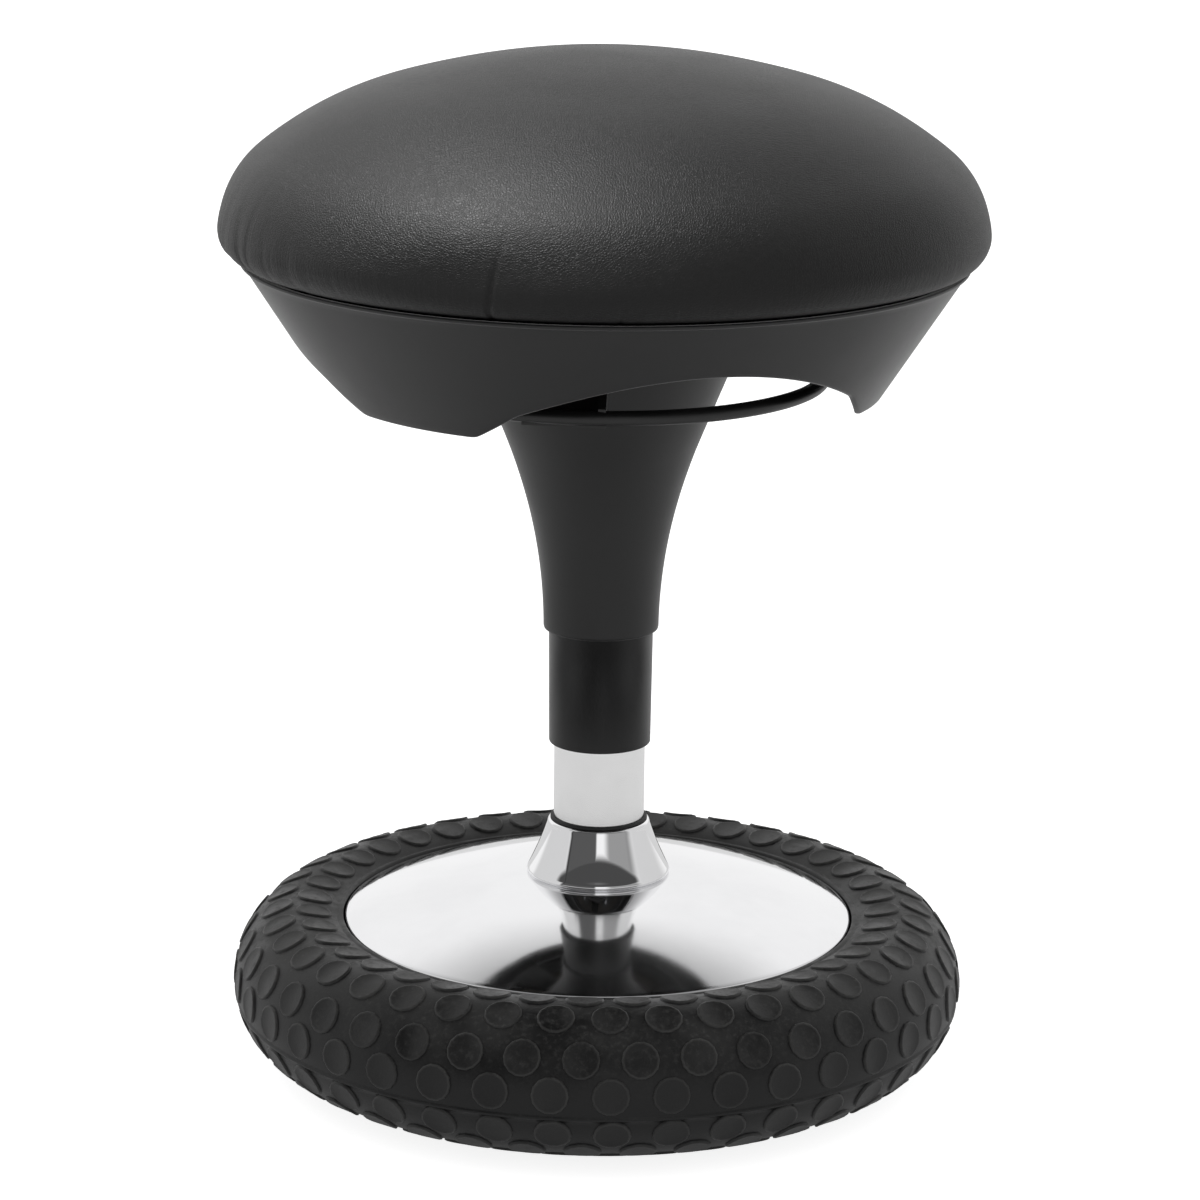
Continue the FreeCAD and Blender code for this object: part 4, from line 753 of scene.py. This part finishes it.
wall_points, wall_faces = shell_wall()
shell = fit(mesh_piece("shell_skirt", wall_points, wall_faces), "seat", "shell_plastic", "seat_shell")
plate_points, plate_faces = gussets()
plates = fit(mesh_piece("shell_gussets", plate_points, plate_faces), "seat", "shell_plastic")
plates.data.polygons.foreach_set("use_smooth", np.zeros(len(plates.data.polygons), bool))
bevel = plates.modifiers.new("soft_edges", "BEVEL")
bevel.width = 0.0004
bevel.segments = 2

# %% [markdown]
# ## Cushion
# The seat is a foam dome under black leather cloth. The cloth is pulled down over the edge and stapled
# under the board, which draws its sides in and gathers it finely round the lower edge. A cloth
# simulation blows the foam's form up against its skin, and a fine grid is then laid on the result.

# %% Cushion profile
def cushion_profile(inset=0.0):
    """The padded outline from the rim under the board to the crown, moved inwards by an inset."""
    low = arc_through((189.6, 454.3), (200.9, 458.3), (206.2, 474.0), 22)
    side = arc_through((206.2, 474.0), (199.4, 494.6), (182.0, 513.9), 22)[1:]
    slope = arc_through((182.0, 513.9), (149.2, 534.9), (106.6, 550.2), 20)[1:]
    crown_ball = (106.6**2 + 14.3**2) / (2 * 14.3)
    run = np.linspace(106.6, 0.0, 26)[1:]
    crown = np.stack([run, 564.5 - crown_ball + np.sqrt(crown_ball**2 - run**2)], -1)
    outline = np.concatenate([low, side, slope, crown])
    for _ in range(8):
        outline[1:-1] = (outline[:-2] + 2 * outline[1:-1] + outline[2:]) / 4
    tangent = np.gradient(outline, axis=0)
    tangent /= np.linalg.norm(tangent, axis=1)[:, None]
    normal = np.stack([tangent[:, 1], -tangent[:, 0]], -1)
    moved = outline - inset * normal
    moved[-1, 0] = 0.0
    return moved


def pole_closed(faces, columns, row):
    """Turn the faces next to a row that has shrunk to one point into triangles that share that point."""
    start = row * columns
    out = []
    for face in faces:
        merged = [start if start <= corner < start + columns else corner for corner in face]
        kept = [corner for index, corner in enumerate(merged) if corner != merged[index - 1]]
        if len(kept) > 2:
            out.append(kept)
    return out


def drop_loose(points, faces):
    """Leave out points that no face uses and renumber the faces."""
    used = np.zeros(len(points), bool)
    used[np.concatenate([np.asarray(face) for face in faces])] = True
    number = np.cumsum(used) - 1
    return points[used], [number[np.asarray(face)].tolist() for face in faces]

# %% Blow up the foam
def simulated_form():
    """A closed coarse body a little smaller than the seat, blown up as cloth against its own stiffness,
    with every point's move capped."""
    outline = np.concatenate([[(150.0, 452.0), (187.0, 452.0)], cushion_profile(1.6)])
    outline = np.concatenate([[(0.0, 452.0)], outline])
    columns = 96
    points = around_axis(outline[:, :1], outline[:, 1:], columns).reshape(-1, 3)
    faces = grid_faces(len(outline), columns)
    faces = pole_closed(faces, columns, 0)
    faces = pole_closed(faces, columns, len(outline) - 1)
    points, faces = drop_loose(points, faces)
    form = mesh_piece("blown_form", points, faces)
    remesh = form.modifiers.new("even_mesh", "REMESH")
    remesh.mode = "VOXEL"
    remesh.voxel_size = 0.006
    depsgraph = bpy.context.evaluated_depsgraph_get()
    form.data = bpy.data.meshes.new_from_object(form.evaluated_get(depsgraph))
    form.modifiers.clear()
    count = len(form.data.vertices)
    start = np.empty(count * 3)
    form.data.vertices.foreach_get("co", start)
    start = start.reshape(-1, 3)
    pinned = form.vertex_groups.new(name="stapled")
    pinned.add(np.flatnonzero(start[:, 2] < 0.4555).tolist(), 1.0, "REPLACE")
    cloth = form.modifiers.new("padding", "CLOTH")
    cloth.settings.quality = 5
    cloth.settings.mass = 0.4
    cloth.settings.tension_stiffness = 40
    cloth.settings.compression_stiffness = 40
    cloth.settings.bending_stiffness = 2.0
    cloth.settings.vertex_group_mass = "stapled"
    cloth.settings.use_pressure = True
    cloth.settings.uniform_pressure_force = 4.0
    cloth.settings.effector_weights.gravity = 0.0
    cloth.point_cache.frame_start = 1
    cloth.point_cache.frame_end = 20
    for step in range(1, 21):
        bpy.context.scene.frame_set(step)
    depsgraph = bpy.context.evaluated_depsgraph_get()
    blown = bpy.data.meshes.new_from_object(form.evaluated_get(depsgraph))
    form.modifiers.clear()
    end = np.empty(count * 3)
    blown.vertices.foreach_get("co", end)
    move = end.reshape(-1, 3) - start
    size = np.linalg.norm(move, axis=1)[:, None]
    print("cloth moved by up to %.1f mm" % (size.max() * 1000))
    move *= np.minimum(1.0, 0.004 / np.maximum(size, 1e-9))
    form.data.vertices.foreach_set("co", (start + move).ravel())
    form.data.update()
    bpy.context.scene.frame_set(1)
    return form

# %% [markdown]
# The cover is a fine grid over that form. Its lower edge carries gathers: many narrow folds of their own
# length, depth and place, strongest at the left, and two deeper pinches at the front where the cloth was
# pulled harder. A fold is a narrow valley across and fades out upwards.

# %% Leather cover
COVER_COLUMNS = 720
CROWD = 0.45


def gather_depth(turn, height):
    """Depth of the gathers in mm at turns from the front in degrees and heights in mm: the sum of narrow
    bell curves across the turn, each fading with height above the lower edge."""
    dice = np.random.default_rng(11)
    count = 230
    place = np.sort(dice.uniform(-180, 180, count))
    strong = 0.14 + 1.0 * np.exp(-(((place + 70) / 27) ** 2))
    deep = dice.uniform(0.1, 0.55, count) * strong
    wide = dice.uniform(0.45, 1.3, count)
    tall = dice.uniform(12, 34, count) * (0.6 + 0.6 * strong)
    lean = dice.uniform(-0.03, 0.03, count)
    fold = [(-16.6, 1.9, 0.40, 28.0, 0.05), (2.3, 1.0, 0.42, 12.0, 0.0), (148.0, 1.2, 0.8, 18.0, 0.0)]
    total = np.zeros(np.broadcast(turn, height).shape)
    for a, d, w, t, l in list(zip(place, deep, wide, tall, lean)) + fold:
        gap = (turn - a - l * (height - 455) + 180) % 360 - 180
        total += d * np.exp(-((gap / w) ** 2)) * np.exp(-(((height - 455) / t) ** 2))
    return total


def swollen(points, form):
    """Let the even skin follow the blown form. Every point's way to the nearest place on the form is
    split into a part away from the axis and a part upwards. Of both only the slow waves round the seat
    are kept, and their mean is left out, so that the seat keeps its measured outline."""
    rows, columns = points.shape[:2]
    probe = mesh_piece("probe", points.reshape(-1, 3), grid_faces(rows, columns))
    wrap = probe.modifiers.new("lay_on", "SHRINKWRAP")
    wrap.target = form
    laid = bpy.data.meshes.new_from_object(probe.evaluated_get(bpy.context.evaluated_depsgraph_get()))
    moved = np.empty(rows * columns * 3)
    laid.vertices.foreach_get("co", moved)
    bpy.data.objects.remove(probe)
    move = moved.reshape(points.shape) - points
    away = points[..., :2] / np.maximum(np.linalg.norm(points[..., :2], axis=-1), 1e-6)[..., None]
    parts = np.stack([(move[..., :2] * away).sum(-1), move[..., 2]])
    waves = np.fft.rfft(parts, axis=2)
    waves[:, :, 0] = 0
    waves[:, :, 10:] = 0
    parts = np.fft.irfft(waves, columns, axis=2)
    for _ in range(12):
        parts[:, 1:-1] = (parts[:, :-2] + 2 * parts[:, 1:-1] + parts[:, 2:]) / 4
    parts *= np.clip((points[..., 2] - 0.456) / 0.012, 0, 1)
    print("slow swelling up to %.2f mm" % (np.abs(parts).max() * 1000))
    return points + np.concatenate([away * parts[0][..., None], parts[1][..., None]], -1)


def leather_cover():
    """The outer skin is the padded outline carried round, swollen like the blown form, a little fuller
    to the left and pressed in by the gathers. The inner skin is even, down to the rim under the board."""
    rim = [(168.0, 451.3), (176.0, 451.3), (184.0, 451.3), (187.0, 451.45), (187.9, 452.2), (188.4, 453.4)]
    outline = np.concatenate([rim, cushion_profile()])
    inner = np.concatenate([cushion_profile(1.3)[::-5], [(187.4, 454.0), (186.4, 452.5), (168.0, 452.5)]])
    outer = around_axis(outline[:, :1], outline[:, 1:], COVER_COLUMNS, CROWD)
    inside = around_axis(inner[:, :1], inner[:, 1:], COVER_COLUMNS, CROWD)
    form = simulated_form()
    outer = swollen(outer, form)
    bpy.data.objects.remove(form)
    turn = np.degrees(np.arctan2(outer[..., 0], -outer[..., 1]))
    height = outer[..., 2] * 1000
    radius = np.linalg.norm(outer[..., :2], axis=-1) * 1000
    press = gather_depth(turn, height) * np.clip((radius - 150) / 30, 0, 1)
    press = press * np.clip((height - 452) / 3, 0, 1)
    bulge = 0.9 * np.cos(np.radians(turn + 90)) * np.clip((height - 454) / 10, 0, 1)
    bulge = bulge * np.clip(radius / 150, 0, 1)
    slow = 0.25 * np.sin(np.radians(5 * turn + 40)) + 0.2 * np.sin(np.radians(9 * turn - 70))
    slow = slow * np.clip((height - 454) / 14, 0, 1) * np.clip((540 - height) / 40, 0, 1)
    outer[..., :2] *= (1 + (bulge + slow - press) / np.maximum(radius, 40))[..., None]
    points = np.concatenate([outer, inside]).reshape(-1, 3)
    crown = len(outline) - 1
    faces = grid_faces(crown + 1 + len(inside), COVER_COLUMNS, True)
    faces = faces[:crown * COVER_COLUMNS] + faces[(crown + 1) * COVER_COLUMNS:]
    faces = pole_closed(pole_closed(faces, COVER_COLUMNS, crown), COVER_COLUMNS, crown + 1)
    return mesh_piece("leather_cover", *drop_loose(points, faces))


cover = fit(leather_cover(), "seat", "black_leather", "cushion_cover")

# %% [markdown]
# Under the cover lies the foam itself, cut to the same dome. Nobody sees it, but a section would.

# %% Foam
def foam_block():
    """The cover's outline moved in by the cloth's thickness, closed by a flat underside on the board."""
    outline = cushion_profile(2.6)
    outline = outline[outline[:, 1] > 466.0][::2]
    outline = np.concatenate([[(0.0, 464.6), (188.0, 464.6)], outline])
    outline[-1] = (0.0, cushion_profile(2.6)[-1, 1])
    columns = 128
    points = around_axis(outline[:, :1], outline[:, 1:], columns).reshape(-1, 3)
    faces = pole_closed(grid_faces(len(outline), columns), columns, 0)
    faces = pole_closed(faces, columns, len(outline) - 1)
    return mesh_piece("foam_block", *drop_loose(points, faces))


foam = fit(foam_block(), "seat", "foam", "foam_core")

# %% [markdown]
# ## Pieces that keep their construction shape
# Screws, bearings, the gas spring, the bracket and the lever's spokes are already right as they were
# built. They get their finishes and soft, smooth shading. Only faces that meet at a sharp angle are
# kept apart.

# %% Dress the construction pieces
FINISH_OF = {
    "wheel_core": "core_plastic", "counterweight": "cast_iron", "foot_pan": "black_steel",
    "pan_screws": "zinc_steel", "web_nuts": "zinc_steel", "column_tube": "chrome_tube",
    "guide_bush": "bush_plastic", "bearing_washer_lower": "zinc_steel", "bearing_balls": "polished_steel",
    "bearing_washer_upper": "zinc_steel", "piston_rod": "chrome_trim", "rod_clip": "spring_steel",
    "gas_cylinder": "black_steel", "release_pin": "zinc_steel", "taper_socket": "black_steel",
    "seat_bracket": "black_steel", "bracket_bolts": "zinc_steel", "tee_nuts": "zinc_steel",
    "shell_screws": "black_steel", "seat_board": "board_ply", "lever_spider": "lever_plastic",
}
for name, slot in FINISH_OF.items():
    node = nodes[name]
    node.data.materials.clear()
    node.data.materials.append(MATERIALS[slot])
    node.data.polygons.foreach_set("use_smooth", np.ones(len(node.data.polygons), bool))
    weld = node.modifiers.new("weld", "WELD")
    weld.merge_threshold = 0.000005
    split = node.modifiers.new("edges", "EDGE_SPLIT")
    split.split_angle = math.radians(28)
print("dressed", len(FINISH_OF), "construction pieces")

# %% [markdown]
# ## Floor, world and lamps
# The photograph is a cut-out on white: soft light from all sides, a large soft lamp overhead and to the
# left, and a darker place where the camera stands, which the bright collar shows as a dark band beside
# the reflection of a tall strip lamp. The world holds these for mirrors, plain white for the camera,
# and an even grey light for everything dull. The lamp lights the cushion alone, since the mirrors of
# the photograph don't show it.

# %% Floor
FLOOR_HALF = 30.0
FLOOR_HEIGHT = -0.0004
floor_corners = [(-1, -1), (1, -1), (1, 1), (-1, 1)]
floor_points = np.array([(FLOOR_HALF * x, FLOOR_HALF * y, FLOOR_HEIGHT) for x, y in floor_corners])
floor = mesh_piece("floor", floor_points, [(0, 1, 2, 3)])
paper = bpy.data.materials.new("white_paper")
paper.use_nodes = True
paper.node_tree.nodes.clear()
w = Wiring(paper.node_tree)
path = w.add("LightPath").outputs
seen_glow = w.math("MULTIPLY", path["Is Camera Ray"], 0.85)
mirror_glow = w.math("MULTIPLY", path["Is Glossy Ray"], 0.2)
glow_level = w.math("ADD", seen_glow, mirror_glow)
glow = w.add("Emission", {"Color": rgb(1.0), "Strength": glow_level})
matte = w.add("BsdfDiffuse", {"Color": rgb(0.8)})
both = w.add("AddShader", {0: glow.outputs[0], 1: matte.outputs[0]})
w.feed(w.add("OutputMaterial").inputs["Surface"], both.outputs[0])
floor.data.materials.append(paper)

# %% World
world = bpy.data.worlds.new("studio")
bpy.context.scene.world = world
world.use_nodes = True
world.node_tree.nodes.clear()
w = Wiring(world.node_tree)
way = w.add("SeparateXYZ", {0: w.add("TexCoord").outputs["Generated"]}).outputs
turn = w.math("ARCTAN2", way[0], w.math("MULTIPLY", way[1], -1.0))


def band(first, last, soft):
    """1 between two turns about the room, measured from the camera's side, with soft ends."""
    first, last, soft = (math.radians(value) for value in (first, last, soft))
    begins = w.ramp(turn, first - soft, first + soft)
    ends = w.ramp(turn, last - soft, last + soft, 1.0, 0.0)
    return w.math("MULTIPLY", begins, ends)


low_part = w.ramp(way[2], 0.90, 0.82)
shade_left = w.math("MULTIPLY", band(-62, -4, 2.5), 0.90)
shade_right = w.math("MULTIPLY", band(17, 70, 8), 0.66)
sides = w.math("MULTIPLY", w.math("ADD", band(-125, -62, 6), band(70, 132, 12)), 0.30)
shade = w.math("MULTIPLY", w.math("ADD", shade_left, w.math("ADD", shade_right, sides)), low_part)
middle = w.math("MULTIPLY", w.ramp(way[2], 0.42, 0.50), w.ramp(way[2], 0.70, 0.62))
high_front = w.math("MULTIPLY", middle, band(-76, 76, 8))
overhead = w.math("MULTIPLY", w.ramp(way[2], 0.62, 0.92), 0.70)
ceiling = w.math("MAXIMUM", overhead, w.math("MULTIPLY", high_front, 0.93))
mirror = w.math("SUBTRACT", 1.0, w.math("MAXIMUM", shade, ceiling), clamp=True)
path = w.add("LightPath").outputs
dull = w.ramp(way[2], -0.2, 0.9, 0.48, 0.70)
level = w.mix(path["Is Glossy Ray"], dull, mirror)
seen = w.math("MAXIMUM", path["Is Camera Ray"], path["Is Transmission Ray"])
level = w.mix(seen, level, rgb(1.0))
sky = w.add("Background", {"Color": level, "Strength": 1.0})
w.feed(w.add("OutputWorld").inputs["Surface"], sky.outputs[0])

# %% Lamps
def soft_lamp(name, place, target, size, watts, lit):
    """A square soft lamp at a place, looking at a target, that lights the pieces in a list only."""
    lamp_data = bpy.data.lights.new(name, "AREA")
    lamp_data.shape = "SQUARE"
    lamp_data.size = size
    lamp_data.energy = watts
    lamp = bpy.data.objects.new(name, lamp_data)
    bpy.context.scene.collection.objects.link(lamp)
    lamp.location = place
    lamp.rotation_euler = Vector(np.subtract(place, target)).to_track_quat("Z", "Y").to_euler()
    receivers = bpy.data.collections.new(name + "_receivers")
    for piece in lit:
        receivers.objects.link(piece)
    lamp.light_linking.receiver_collection = receivers
    return lamp


soft_lamp("overhead", (-0.60, -0.28, 1.85), (0.0, 0.0, 0.5), 0.8, 44.0, [cover])

# %% Picture and finish
bpy.context.scene.view_settings.view_transform = "Standard"
